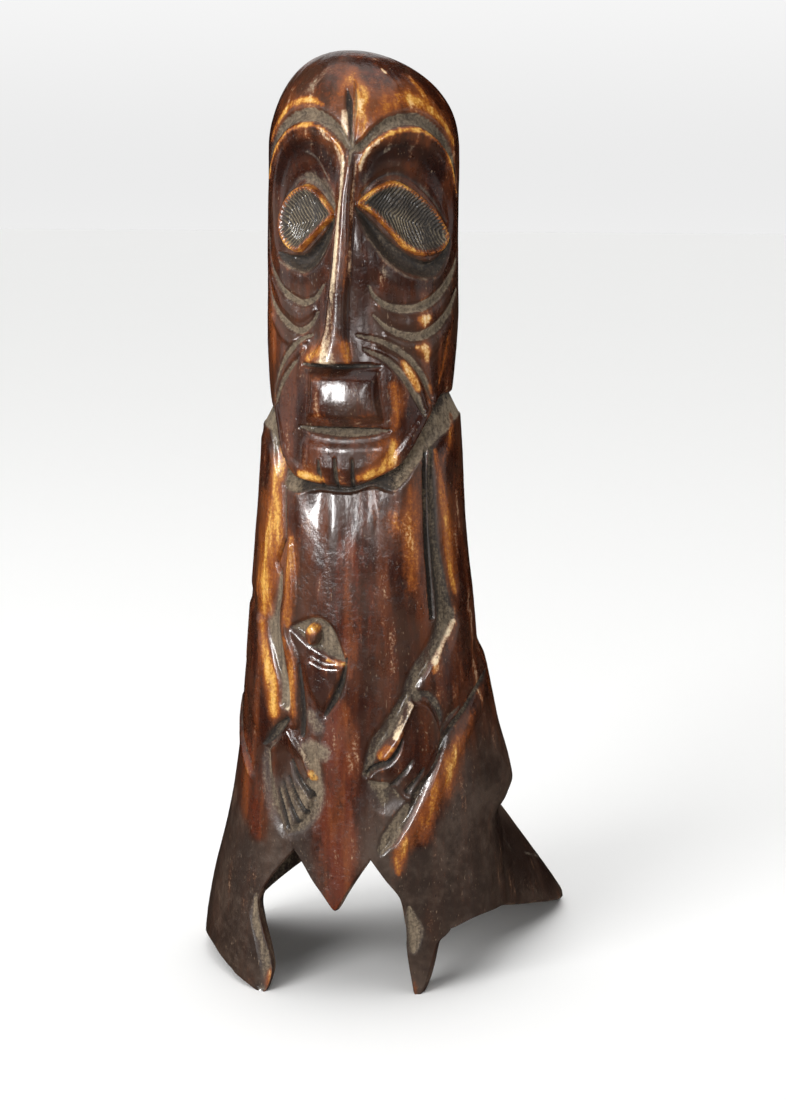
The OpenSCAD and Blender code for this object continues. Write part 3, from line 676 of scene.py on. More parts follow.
def low_grid(name, start, end, count):
    """Angles and heights of a section below the split, rim first."""
    f = np.linspace(0, 1, count + 1)[None, :]
    t = np.linspace(1, 0, LOW_ROWS + 1)[:, None]
    u = mix(start, end, f)
    if name.startswith("front_leg"):
        side = name.rsplit("_", 1)[1]
        z_line = SPLIT * (1 - t)
        notch_p, notch_z = LEG_NOTCH[side]
        inner = np.where(z_line > notch_z, notch_p, LEG_INNER[side](z_line))
        outer = LEG_OUTER[side](z_line)
        if side == "left":
            outer = np.where(z_line > SIDE_NOTCH_Z, side_seam(z_line), outer)
        first, second = (inner, outer) if side == "left" else (outer, inner)
        return mix(first, second, f), z_line + 0 * f
    if name == "front_tongue":
        return u + 0 * t, mix(SPLIT, TONGUE(u), t)
    if name == "side_panel_right":
        foot = np.where(u > -78, mix(-78, -55, (u + 78) / 18), u)
    else:
        foot = RIM(u, 0)
    return mix(u, foot, t), mix(SPLIT, RIM(u, 1), t)


def build_skin():
    """Angle and height of every vertex, the faces as rows of four, and each face's section, or -1
    in the crown. A triangle's last two corners are the same."""
    columns = np.concatenate([np.linspace(a, b, n, endpoint=False) for _, a, b, n in SECTIONS])
    owner = np.concatenate([[i] * n for i, (_, _, _, n) in enumerate(SECTIONS)])
    corners, sections = [], []

    def dome_z(degrees):
        return CROWN_Z + (NOMINAL_H - CROWN_Z) * np.sin(np.radians(degrees))

    def add_grid(pp, zz, section):
        quads = np.stack([np.stack([g[:-1, :-1], g[:-1, 1:], g[1:, 1:], g[1:, :-1]], axis=-1)
                          for g in (pp, zz)], axis=-1)
        corners.append(quads.reshape(-1, 4, 2))
        sections.append(np.broadcast_to(section, quads.shape[:2]).reshape(-1))

    def add_triangles(*places):
        """Places are three pairs of angles and one height."""
        tri = [np.stack([angles, np.full(len(angles), height)], axis=-1) for angles, height in places]
        corners.append(np.stack([*tri, tri[-1]], axis=1))
        sections.append(np.full(len(tri[0]), -1))

    ring = np.append(columns, columns[0] + 360)
    heights = np.concatenate([spread((SPLIT, WAIST, 0.52), (WAIST, 125, 0.48), (125, CROWN_Z, 0.36)),
                              dome_z(np.linspace(0, 68, 44))])
    add_grid(np.tile(ring, (len(heights), 1)), np.tile(heights[:, None], (1, len(ring))), owner[None, :])
    for i, section in enumerate(SECTIONS):
        add_grid(*low_grid(*section), i)

    # towards the top of the dome each ring has half the columns of the one below
    low = heights[-1]
    for high in dome_z(np.array([73, 78, 83])):
        a, m, b = ring[:-1:2], ring[1::2], ring[2::2]
        add_triangles((a, low), (m, low), (a, high))
        add_triangles((m, low), (b, high), (a, high))
        add_triangles((m, low), (b, low), (b, high))
        ring, low = ring[::2], high
    add_triangles((ring[:-1], low), (ring[1:], low), (0 * ring[1:], NOMINAL_H))

    # corners that fall together become one vertex
    corners, sections = np.concatenate(corners), np.concatenate(sections)
    flat = corners.reshape(-1, 2)
    angle = np.where(flat[:, 0] > RING_END - 1e-4, flat[:, 0] - 360, flat[:, 0])
    keys = (np.round(angle * WELD) * 10 ** 6 + np.round(flat[:, 1] * WELD)).astype(np.int64)
    _, first, inverse = np.unique(keys, return_index=True, return_inverse=True)
    faces = inverse.reshape(-1, 4)
    alive = (faces[:, 0] != faces[:, 1]) & (faces[:, 1] != faces[:, 2]) & (faces[:, 3] != faces[:, 0])
    return angle[first], flat[first, 1], faces[alive], sections[alive]


def label_faces(p, z, faces, sections):
    """The host section of each face, and the section that shows there."""
    fp = turn(p[faces])
    fp = np.where(np.abs(fp - fp[:, :1]) > 180, fp + 360 * np.sign(fp[:, :1]), fp).mean(axis=1)
    fp = turn(fp)
    fz = z[faces].mean(axis=1)
    host = np.array([name for name, _, _, _ in SECTIONS] + [""], dtype=object)[sections]
    host[fz > WAIST] = "torso"
    host[fz > collar_line(fp)] = "neck_collar"
    host[fz > JAW(fp)] = "head_core"
    host[fz > CROWN_Z] = "skull_crown"
    shown = host.copy()

    def claim_outline(name, outline):
        shown[inside(outline, fp, fz)] = name

    def claim_strip(name, strip, low=0.0, high=NOMINAL_H):
        away, _, (width,) = near(curve(strip), fp, fz)
        shown[(away < width * 0.6) & (fz > low) & (fz < high)] = name

    for side in SIDES:
        claim_outline(f"upper_arm_{side}", UPPER_ARMS[side])
        claim_outline(f"forearm_{side}", FOREARMS[side])
        for i, strip in enumerate(SCARS[side]):
            claim_strip(f"cheek_scar_{side}_{i + 1}", strip)
        claim_strip(f"brow_ridge_{side}", BROWS[side])
        claim_strip(f"cloak_edge_{side}", CLOAKS[side], low=39.2)
        claim_outline(f"hand_{side}", HANDS[side])
        claim_outline(f"eye_{side}", EYES[side])
    claim_outline("upper_lip", UPPER_LIP)
    claim_outline("lower_lip", LOWER_LIP)
    claim_outline("chin_beard", CHIN)
    claim_outline("belly_leaf", LEAF)
    shown[from_knob(fp, fz) < 1] = "navel_knob"
    shown[(nose(fp, fz) > 0.15) & (fz < 205) & (fz > 157)] = "nose_ridge"
    return host, shown


def edges_of(faces):
    """Directed edges of the faces and the face that each belongs to."""
    start = faces.reshape(-1)
    end = np.roll(faces, -1, axis=1).reshape(-1)
    face = np.repeat(np.arange(len(faces)), 4)
    real = start != end
    return start[real], end[real], face[real]


def partners(start, end, count):
    """For each directed edge the number of the one that runs back along it, or -1 at a border."""
    key, back = start * count + end, end * count + start
    order = np.argsort(key)
    match = order[np.clip(np.searchsorted(key[order], back), 0, len(key) - 1)]
    return np.where(key[match] == back, match, -1)


def smooth_seams(p, z, faces, shown):
    """Moves the vertices between two sections along the skin, so that no seam has steps."""
    n = len(p)
    start, end, face = edges_of(faces)
    match = partners(start, end, n)
    alone = match < 0
    seam = ~alone & (shown[face] != shown[face[match]]) & (start < end)
    a, b = start[seam], end[seam]
    degree = np.bincount(a, minlength=n) + np.bincount(b, minlength=n)
    rim = np.zeros(n, bool)
    rim[start[alone]] = rim[end[alone]] = True
    free = (degree == 2) & ~rim & (z > SPLIT + 0.2) & (z < NOMINAL_H - 1)
    p, z = p.copy(), z.copy()
    for _ in range(8):
        dp, dz = turn(p[b] - p[a]), z[b] - z[a]
        p += np.where(free, 0.25 * (np.bincount(a, dp, n) - np.bincount(b, dp, n)), 0)
        z += np.where(free, 0.25 * (np.bincount(a, dz, n) - np.bincount(b, dz, n)), 0)
    return p, z


def normals_of(points, faces):
    """A unit normal at each point, the larger faces counting for more."""
    q = points[faces]
    n = np.cross(q[:, 2] - q[:, 0], q[:, 3] - q[:, 1])
    out = np.zeros_like(points)
    for k in range(4):
        for axis in range(3):
            out[:, axis] += np.bincount(faces[:, k], n[:, axis], len(points))
    return out / np.maximum(np.linalg.norm(out, axis=1), 1e-20)[:, None]


def blurred(values, faces, rounds):
    """Values averaged over neighbouring vertices, that many times."""
    start, end, _ = edges_of(faces)
    count = np.bincount(start, minlength=len(values)) + np.bincount(end, minlength=len(values))
    count = np.maximum(count, 1)
    for _ in range(rounds):
        total = np.bincount(start, values[end], len(values))
        total = total + np.bincount(end, values[start], len(values))
        values = 0.5 * values + 0.5 * total / count
    return values


# ---------------------------------------------------------------- wear, stain, dirt and painted shadow

# Places rubbed through the stain: strength of amber, strength of the pale worn colour, and the line with its
# width. The pale colour along the nose's left edge and beside the forehead's groove is partly painted
# highlight.
AMBER = [
    (0.95, 0, [[-2, 219.6, 2.2], [3, 222, 2.6], [11, 221.6, 3.4], [12.4, 216.4, 4.2], [11, 211, 3.4]]),
    # beside the forehead's groove: the pale colour is partly painted highlight
    (1, 0.42, [[12.6, 217.6, 1.8], [12.6, 215, 2.4], [11.4, 212.4, 1.6]]),
    (0.6, 0.6, [[0.6, 214.6, 1.8], [1.8, 210.6, 1.8]]),
    (0.5, 0, [[-8, 219, 2.6], [-4, 214.6, 3]]),
    (0.8, 0.08, [[20, 213.6, 2], [30, 217.6, 4], [46, 218.6, 3.4], [58, 216.4, 2.4], [70, 213, 2],
        [80, 208.4, 1.6]]),
    (0.75, 0.2, [[60, 222, 1.8], [61, 218, 2]]),
    (0.9, 0.6, [[38, 224.6, 1], [39, 224.3, 1]]),
    (0.8, 0.05, [[-62, 209, 1.6], [-50, 214.8, 1.8], [-38, 217.4, 1.6], [-24, 217.9, 1.2],
        [-14, 216.6, 1]]),
    (0.5, 0.55, [[-14, 210.9, 1], [-6, 208, 1.2], [-1, 204, 1.1], [0, 201, 1]]),
    (0.42, 0.36, [[-50, 211.8, 1], [-37, 213.8, 1.5], [-24, 214.4, 1.5], [-13, 213.4, 1]]),
    (0.5, 0.5, [[22, 208.4, 1], [15, 205.8, 1.1], [11, 202, 0.9]]),
    # down the nose's left edge: the pale line is partly painted highlight
    (0.5, 0.8, [[0.6, 205, 0.7], [0.2, 201, 0.9], [-0.6, 196, 1], [-1.8, 190, 1.1], [-3.2, 183, 1.2],
        [-4.4, 175, 1.5], [-6, 167, 2.2], [-7, 161, 3], [-7, 158, 3.2]]),
    (0.4, 0.4, [[8.6, 204, 0.5], [7, 198, 0.7], [6.4, 192, 0.9], [6.2, 184, 0.7], [5, 175, 0.6]]),
    (0.95, 0.1, [[-21, 158.2, 2], [-16, 159.8, 2.8], [-11, 160.2, 2.6]]),
    (0.85, 0, [[3, 161.4, 2.2], [5.4, 158.6, 2.2]]),
    (1, 0.38, [[48, 167.4, 1.4], [51, 167, 2.2], [55, 167.6, 1.2]]),
    (1, 0.4, [[46, 160.8, 1], [52, 160.2, 2.2], [54, 157.8, 1.2]]),
    (1, 0.34, [[37, 157.4, 1.2], [42, 154.6, 1.8], [47, 151, 1.4]]),
    (0.75, 0.15, [[74, 164, 1], [72, 158, 1.4], [66, 152, 1.2]]),
    (0.7, 0, [[56, 151, 1.6], [58, 147.6, 2]]),
    (0.6, 0, [[30, 152, 2], [33, 147, 2.4], [31, 142, 1.6]]),
    (0.95, 0.1, [[-25, 130.6, 1.4], [-18, 130, 2], [-11, 129.6, 1.6]]),
    (0.85, 0, [[11, 130.4, 1.4], [20, 131.8, 2.4], [28, 134.4, 2.8], [31, 138.4, 2]]),
    (0.45, 0, [[20, 136, 3], [26, 138, 3]]),
    (0.85, 0, [[58.6, 136, 1], [60.4, 131, 1.6], [63.4, 122, 2.4], [63.4, 116, 2.8], [64.4, 110, 2],
        [67.6, 101, 1.2]]),
    (0.6, 0, [[80, 143.4, 1.6], [72, 138.6, 1.6], [64, 133.4, 1.2]]),
    (0.42, 0, [[24, 121, 4], [30, 119.6, 5]]),
    (0.36, 0, [[44, 131, 2.6], [42, 126, 3], [41, 112, 4], [40, 104, 3]]),
    (1, 0.08, [[-44, 136, 2], [-42.8, 130, 3.2], [-42.4, 122, 4], [-42.8, 114, 5.2], [-46, 104, 5.4],
        [-48.6, 96, 3.8]]),
    (0.5, 0, [[-56, 124, 3], [-55, 112, 4], [-55, 100, 3]]),
    (0.7, 0, [[-29.4, 114.6, 1.6], [-29.2, 108, 2.2], [-29.2, 100, 2.4], [-30, 94, 1.8]]),
    (0.55, 0, [[-31.6, 90, 1.6], [-28, 86, 2.4], [-25.6, 80, 2.4], [-24.4, 72, 2]]),
    (0.9, 0.05, [[-49.4, 93.6, 1.6], [-47, 88, 2], [-43, 83, 2.6], [-39, 78, 2.8], [-37.4, 71, 2.2]]),
    (0, 0.7, [[-31.4, 79, 1.4], [-30, 75, 1.7], [-30, 73, 1.3]]),
    (0, 0.25, [[-40, 90.6, 1.6], [-37.6, 86, 1.6]]),
    (0.95, 0.1, [[-16, 93.6, 2.2], [-13, 93.6, 2.2]]),
    (0.95, 0.2, [[-6, 86, 0.8], [-2, 85.3, 1.2], [3.2, 85, 1]]),
    (0.95, 0.05, [[26.4, 64.8, 1.6], [23.4, 62.8, 2]]),
    (0.5, 0.7, [[37.6, 75.6, 0.8], [33, 71, 0.9], [29, 67.4, 0.8]]),
    (0.95, 0.1, [[-15.4, 57.4, 1.2], [-13.8, 55.8, 1.4]]),
    (0.4, 0.6, [[-24.6, 66.2, 0.6], [-20, 62.2, 0.7], [-16.6, 59.2, 0.6]]),
    (0.6, 0.6, [[66, 94, 0.8], [58.4, 89.6, 0.9], [51.4, 84.8, 1.2]]),
    (0.6, 0.2, [[52, 84.6, 1.2], [50.4, 82.6, 1.2]]),
    (0.62, 0, [[76, 70.6, 1.6], [68, 66, 2.6], [58, 59.6, 4], [50, 52.6, 4.4], [43.6, 47.4, 4],
        [37, 42, 3.4], [32, 37.4, 2.4], [31.4, 33, 1.2]]),
    (0.85, 0.4, [[-33, 2, 2.2], [-32, 5, 2]]),
    (0.5, 0.2, [[42.4, 1.4, 1.4], [41.6, 3, 1.2]])]

# Redder, dusty and darker places: strength, and the line with its width. The darker places are
# painted shadow in the sockets under the brows, over and under the eyes, beside and under the nose and
# at the sides of the muzzle and face, and a darker tone on the legs.
RED = [
    (0.95, [[0, 74, 5], [-2, 60, 7], [-1, 45, 9], [0, 30, 7], [0, 22, 4]]),
    (0.9, [[-62, 62, 4], [-56, 54, 7], [-50, 46, 7], [-46, 40, 4]]),
    (0.8, [[-62, 180, 5], [-58, 168, 6], [-54, 158, 5]]),
    (0.75, [[4, 112, 8], [6, 98, 9], [4, 84, 5]]),
    (0.6, [[-8, 222, 10], [20, 224, 12]]),
    (0.5, [[38, 171, 3], [56, 160, 5]]),
    (0.7, [[62, 62, 3], [52, 54, 4], [42, 42, 4]])]
PALE = [
    (0.75, [[-30, 200.4, 2.2], [-22, 199.6, 3], [-12, 196.6, 3], [-6, 190, 1.6]]),
    (0.35, [[14, 199, 2], [24, 203, 2], [38, 203.4, 1.4]]),
    (0.55, [[-47, 180.6, 0.6], [-27, 178.2, 0.8], [-14, 182.4, 0.9], [-5, 189, 0.6]]),
    (0.55, [[9, 191, 0.6], [18, 185.6, 0.9], [30, 180.2, 0.9], [44, 177, 0.8], [60, 176.6, 0.6]]),
    (1, [[-16, 63.4, 3.4], [-11, 62.6, 4]]),
    (0.7, [[-16, 72, 2.4], [-12, 69, 3]]),
    (0.45, [[-38.4, 63.6, 0.8], [-44, 60, 1.8], [-42, 52, 2.2], [-38, 45, 2.4]]),
    (0.8, [[38, 22, 1.6], [40.4, 17, 3], [41, 12, 2]]),
    (0.9, [[-43.6, 23, 0.8], [-42.6, 18, 1.4], [-38.4, 12, 1.5], [-35.4, 6.6, 1.4], [-35, 2, 1]]),
    (0.55, [[40, 133.6, 2.4], [52, 139, 3], [66, 143.6, 3], [84, 146, 2.4]]),
    (0.5, [[-30, 206.4, 0.4], [-20, 204.6, 0.7], [-11, 200, 0.5]]),
    (0.4, [[30, 206.6, 0.4], [22, 204.6, 0.7], [16, 201, 0.5]]),
    (0.3, [[14, 188, 1.4], [20, 181, 1.6], [34, 176.6, 1.2]]),
    (0.34, [[-34, 219, 3], [-18, 224, 4], [8, 227.4, 3]]),
    (0.5, [[126, 22, 0.6], [136, 16, 0.8], [142, 8, 0.5]]),
    (0.4, [[104, 36, 0.5], [116, 27, 0.7], [124, 20, 0.4]])]
PAINTED_SHADE_AND_TONE = [
    (0.9, [[-52, 200, 2.6], [-42, 205.4, 3.2], [-28, 207, 3.4], [-14, 205, 3.2], [-5, 200.4, 2.4]]),
    (1, [[18, 194.4, 2.4], [30, 194.8, 3.6], [42, 194.4, 4], [56, 191.6, 3.6], [66, 189, 2.6]]),
    (0.5, [[-12, 192.6, 1.4], [-24, 195, 2], [-38, 194.4, 1.8]]),
    (0.9, [[14, 200.4, 2.4], [24, 205, 3.4], [38, 206.4, 3.6], [54, 205, 3.6], [70, 200.4, 3]]),
    (0.6, [[-48, 178, 2], [-26, 176.6, 2.4], [-13, 181.4, 2.6]]),
    (0.7, [[14, 186.4, 2.4], [28, 178.4, 3], [46, 175.6, 3], [66, 176, 2.4]]),
    (0.6, [[13, 180, 2.4], [13, 170, 2.8], [15, 163.6, 2.2]]),
    (0.45, [[-14, 178, 2], [-17, 168, 2.2]]),
    (0.8, [[-22, 155.2, 1.2], [0, 155.4, 1.5], [22, 155.2, 1.2]]),
    (0.6, [[28, 153, 2.4], [29, 146, 2.4]]),
    (0.5, [[-26, 153, 2], [-27, 146, 2.4]]),
    (0.6, [[74, 196, 4], [80, 182, 5], [78, 170, 4]]),
    (0.7, [[100, 36, 8], [120, 26, 10], [136, 12, 8]]),
    (0.2, [[-70, 40, 7], [-66, 24, 8], [-60, 10, 6]])]


def painted(marks, p, z):
    """Strength of the marks at each place, with soft borders."""
    out = np.zeros((len(marks[0]) - 1,) + p.shape)
    for *strengths, points in marks:
        away, _, (width,) = near(curve(points), p, z, reach=9.0)
        t = ease(1.15 * (1 - away / np.maximum(width * 1.1, 1e-3)))
        for k, strength in enumerate(strengths):
            out[k] = np.maximum(out[k], strength * t)
    return out


def finish_of(p, z, d, dirt, dark_dirt_and_shade, faces):
    """A row for each vertex with the attributes that drive the material, as in FINISH_KEYS."""
    p = turn(p)
    near_blur = blurred(d, faces, 6)
    far_blur = blurred(near_blur, faces, 40)
    edge = np.clip((d - near_blur) / 0.10, 0, 1) * 0.6 + np.clip((d - far_blur) / 0.55, 0, 1) * 0.5
    # how far each place lies below its neighbours: it adds dirt, and the material paints shadow in the
    # creases by it
    hollow = np.clip((near_blur - d) / 0.12, 0, 1) * 0.6 + np.clip((far_blur - d) / 0.6, 0, 1) * 0.5
    amber, cream_and_highlight = painted(AMBER, p, z)
    phase, eye = np.zeros(p.shape), np.zeros(p.shape)
    for side in SIDES:
        within = depth_inside(EYES[side], p, z)
        _, inner, stroke = hatching(side, p, z, within)
        eye = np.maximum(eye, inner)
        phase += stroke
        uneven = 0.5 * np.cos(2 * np.pi * stroke)
        amber = np.maximum(amber, 0.85 * ease((within + 0.3) / 0.4) * ease(1.8 - within + uneven))
        away, _, (width,) = near(curve(BROWS[side]), p, z)
        amber = np.maximum(amber, 0.9 * ease(1.4 * (1 - away / np.maximum(0.45 * width, 1e-3))))
    painted_shade_and_tone, red, pale = (painted(marks, p, z)[0] for marks in (PAINTED_SHADE_AND_TONE, RED, PALE))
    finish = {
        "amber": amber, "cream_and_highlight": cream_and_highlight, "painted_shade_and_tone": painted_shade_and_tone, "red": red, "eye": eye, "stroke": phase,
        "glow": np.clip(1.7 * blurred(amber, faces, 70), 0, 1),
        "soil": np.clip(1.6 * blurred(np.maximum(dirt, dark_dirt_and_shade), faces, 60), 0, 1),
        "dirt": np.clip(np.maximum(dirt, 0.9 * pale) * (1 - 0.85 * amber) + 0.35 * hollow, 0, 1),
        "dark_dirt_and_shade": np.clip(dark_dirt_and_shade * (1 - 0.85 * amber), 0, 1),
        "low": ease((70 + 14 * bell(turn(p, 82) / 28) - z) / 36) * (1 - red),
        "edge": np.clip(edge, 0, 1), "hollow": np.clip(hollow, 0, 1)}
    return np.stack([finish[key] for key in FINISH_KEYS], axis=1)


# ---------------------------------------------------------------- pieces

FINISH_KEYS = ["amber", "cream_and_highlight", "glow", "painted_shade_and_tone", "red", "soil", "dirt", "dark_dirt_and_shade", "low", "edge",
               "hollow", "eye", "stroke"]
# the inner faces: some dirt, and painted shadow as in the creases and cuts
INNER_FINISH = [{"soil": 0.5, "dirt": 0.5, "dark_dirt_and_shade": 0.5, "low": 0.6, "hollow": 0.5}.get(key, 0.0)
                for key in FINISH_KEYS]
RIM_FINISH = [{"amber": 0.15, "glow": 0.2, "soil": 0.3, "dirt": 0.4, "dark_dirt_and_shade": 0.2, "low": 0.6,
               "edge": 0.25}.get(key, 0.0) for key in FINISH_KEYS]

# The rounded lower rim: how far through the wall each step is, and its share of the bulge
RIM_STEPS = [(0.06, 0.45), (0.2, 0.85), (0.45, 1.0), (0.72, 0.9), (0.92, 0.5)]
RIM_BULGE = 0.7
DOME_RINGS = 20


class Piece:
    """One section while it is put together: its points, their finish, and its faces."""

    def __init__(self, skin):
        self.skin = skin
        self.points, self.finish, self.index = [], [], {}
        self.faces, self.soft, self.sources = [], [], []

    def point(self, kind, v, where, finish=INNER_FINISH):
        """The number of a point, which is made when it is first asked for."""
        key = (kind, v)
        if key not in self.index:
            self.index[key] = len(self.points)
            self.points.append(where)
            self.finish.append(finish)
        return self.index[key]

    def top(self, v):
        return self.point("top", v, self.skin["outer"][v], self.skin["finish"][v])

    def floor(self, v):
        return self.point("floor", v, self.skin["floor"][v])

    def inner(self, v):
        return self.point("inner", v, self.skin["inner"][v])

    def rim(self, v):
        steps = enumerate(self.skin["rim"][v])
        return [self.point(("rim", k), v, where, RIM_FINISH) for k, where in steps]

    def on_axis(self, z):
        return self.point("axis", z, place(0.0, np.float64(z), np.float64(0.0)))

    def dome(self, v, level):
        """A point of the marrow hollow's rounded top, above a vertex of the torso's lower border."""
        if level == 0:
            return self.inner(v)
        if level == DOME_RINGS:
            return self.on_axis(HOLLOW_TOP)
        p, turned = self.skin["p"][v], math.radians(90 * level / DOME_RINGS)
        z = np.float64(mix(WAIST, HOLLOW_TOP, math.sin(turned)))
        return self.point(("dome", level), v, place(p, z, (skin_r(p, z) - WALL) * math.cos(turned)))

    def face(self, ids, soft, source=None):
        """Adds a face, without the corners that fall together. Source is the skin's vertices that it
        takes its normals from."""
        kept = [i for k, i in enumerate(ids) if k == 0 or i != ids[k - 1]]
        if kept[-1] == kept[0]:
            kept.pop()
        if len(kept) >= 3:
            self.faces.append(kept)
            self.soft.append(soft)
            self.sources.append(source if source and len(source) == len(kept) else None)

    def to_object(self, name, material):
        mesh = bpy.data.meshes.new(name)
        mesh.from_pydata([tuple(q) for q in self.points], [], self.faces)
        mesh.polygons.foreach_set("use_smooth", self.soft)
        finish = np.array(self.finish)
        for k, key in enumerate(FINISH_KEYS):
            layer = mesh.attributes.new(key, "FLOAT", "POINT")
            layer.data.foreach_set("value", finish[:, k].astype(np.float32))
        normals = [np.zeros((len(ids), 3)) if source is None else self.skin["normals"][source]
                   for ids, source in zip(self.faces, self.sources)]
        mesh.normals_split_custom_set(np.concatenate(normals))
        mesh.materials.append(material)
        mesh.update()
        piece = bpy.data.objects.new(name, mesh)
        bpy.context.scene.collection.objects.link(piece)
        return piece


def build_piece(name, own, under, skin):
    """A closed piece: the faces of a section, pockets under the sections that are inlaid in it, and
    its sides and inner surface."""
    piece = Piece(skin)
    p, z = skin["p"], skin["z"]
    faces = skin["faces"][np.concatenate([own, under])]
    is_own = np.arange(len(faces)) < len(own)
    pocketed = set(faces[len(own):].reshape(-1).tolist())
    rows = [row if row[2] != row[3] else row[:3] for row in faces.tolist()]
    shell, solid = name in SHELLS, SOLIDS.get(name)

    for row in rows[:len(own)]:
        piece.face([piece.top(v) for v in row], True, row)
    for row in rows[len(own):]:
        piece.face([piece.floor(v) for v in row], True)

    # the walls of the pockets
    start, end, face = edges_of(faces)
    match = partners(start, end, len(p))
    own_here, own_there = is_own[face], is_own[face[match]]
    for i in np.flatnonzero((match >= 0) & own_here & ~own_there):
        a, b = int(start[i]), int(end[i])
        piece.face([piece.top(b), piece.top(a), piece.floor(a), piece.floor(b)], False)

    def way_in(v, owned, tip):
        """Points from the surface at a vertex of the border to where the piece ends inside."""
        ids = [piece.top(v) if owned else piece.floor(v)]
        if owned and v in pocketed and (shell or solid):
            ids.append(piece.floor(v))
        if shell and v in skin["rim"]:
            ids += piece.rim(v)
        if tip is not None:
            ids.append(piece.on_axis(tip))
        else:
            ids.append(piece.inner(v) if shell or solid else piece.floor(v))
        return ids

    # the sides, from the borders inwards
    hollow_border = []
    for i in np.flatnonzero(match < 0):
        a, b, owned = int(start[i]), int(end[i]), bool(own_here[i])
        low = bool(solid) and 0.5 * (z[a] + z[b]) < solid[2](turn(p[a]))
        tip = solid[0 if low else 1] if solid else None
        first, second = way_in(a, owned, tip), way_in(b, owned, tip)
        on_rim = shell and a in skin["rim"] and b in skin["rim"]
        if on_rim and len(first) == len(second):
            for k in range(len(first) - 1):
                piece.face([second[k], first[k], first[k + 1], second[k + 1]], True)
        else:
            piece.face([second[0]] + first + second[:0:-1], False)
        if name == "torso" and low:
            hollow_border.append((a, b))

    if shell or not solid:
        inward = piece.inner if shell else piece.floor
        for row in rows:
            piece.face([inward(v) for v in reversed(row)], True)
    for k in range(DOME_RINGS):
        for a, b in hollow_border:
            corners = ((b, k), (a, k), (a, k + 1), (b, k + 1))
            piece.face([piece.dome(v, level) for v, level in corners], True)
    return piece


def rim_paths(skin):
    """For each vertex of the lower rim, the points of the rounded way round to the inner face."""
    p, z, outer, inner = skin["p"], skin["z"], skin["outer"], skin["inner"]
    start, end, _ = edges_of(skin["faces"])
    alone = partners(start, end, len(p)) < 0
    a, b = start[alone], end[alone]
    middle_p, middle_z = 0.5 * (p[a] + p[b]), 0.5 * (z[a] + z[b])
    # below the split two sections also part at a seam, which is no rim
    seam = (np.abs(middle_p - side_seam(middle_z)) < 0.3) & (middle_z > SIDE_NOTCH_Z + 0.1)
    for notch_p, notch_z in LEG_NOTCH.values():
        seam |= (np.abs(p[a] - notch_p) < 0.01) & (middle_z > notch_z)
    a, b = a[~seam], b[~seam]
    out = np.zeros_like(outer)
    for v in (a, b):
        push = np.cross(outer[b] - outer[a], skin["normals"][v])
        np.add.at(out, v, push / np.maximum(np.linalg.norm(push, axis=1), 1e-12)[:, None])
    paths = {}
    for v in np.unique(np.concatenate([a, b])).tolist():
        away = out[v] / max(np.linalg.norm(out[v]), 1e-12)
        paths[v] = []
        for share, bulge in RIM_STEPS:
            q = mix(outer[v], inner[v], share) + away * RIM_BULGE * MM * bulge
            q[2] = max(q[2], 0.0)
            paths[v].append(q)
    return paths


def build_pieces(materials):
    """Every section as an object, by the name of the CAD node that it replaces."""
    p, z, faces, sections = build_skin()
    host, shown = label_faces(p, z, faces, sections)
    p, z = smooth_seams(p, z, faces, shown)
    d, dirt, dark_dirt_and_shade = carve(p, z)
    outer = place(p, z, skin_r(p, z) + d)
    outer[:, 2] = np.maximum(outer[:, 2], 0)
    skin = {"p": p, "z": z, "faces": faces, "outer": outer,
            "inner": place(cut_through(p, z), z, skin_r(p, z) - WALL),
            "floor": place(p, z, skin_r(p, z) + np.minimum(d, 0.0) - INLAY),
            "normals": normals_of(outer, faces),
            "finish": finish_of(p, z, d, dirt, dark_dirt_and_shade, faces)}
    skin["rim"] = rim_paths(skin)
    pieces = {}
    for name in sorted(set(shown)):
        own = np.flatnonzero(shown == name)
        under = np.flatnonzero((host == name) & (shown != name))
        piece = build_piece(name, own, under, skin)
        pieces[name] = piece.to_object(f"carved_{name}", materials[slot_of(name)])
    return pieces


# ---------------------------------------------------------------- materials

def rgb(code):
    """Scene-linear colour from a hex code."""
    out = []
    for i in (0, 2, 4):
        c = int(code[i:i + 2], 16) / 255
        out.append(c / 12.92 if c <= 0.04045 else ((c + 0.055) / 1.055) ** 2.4)
    return (*out, 1.0)


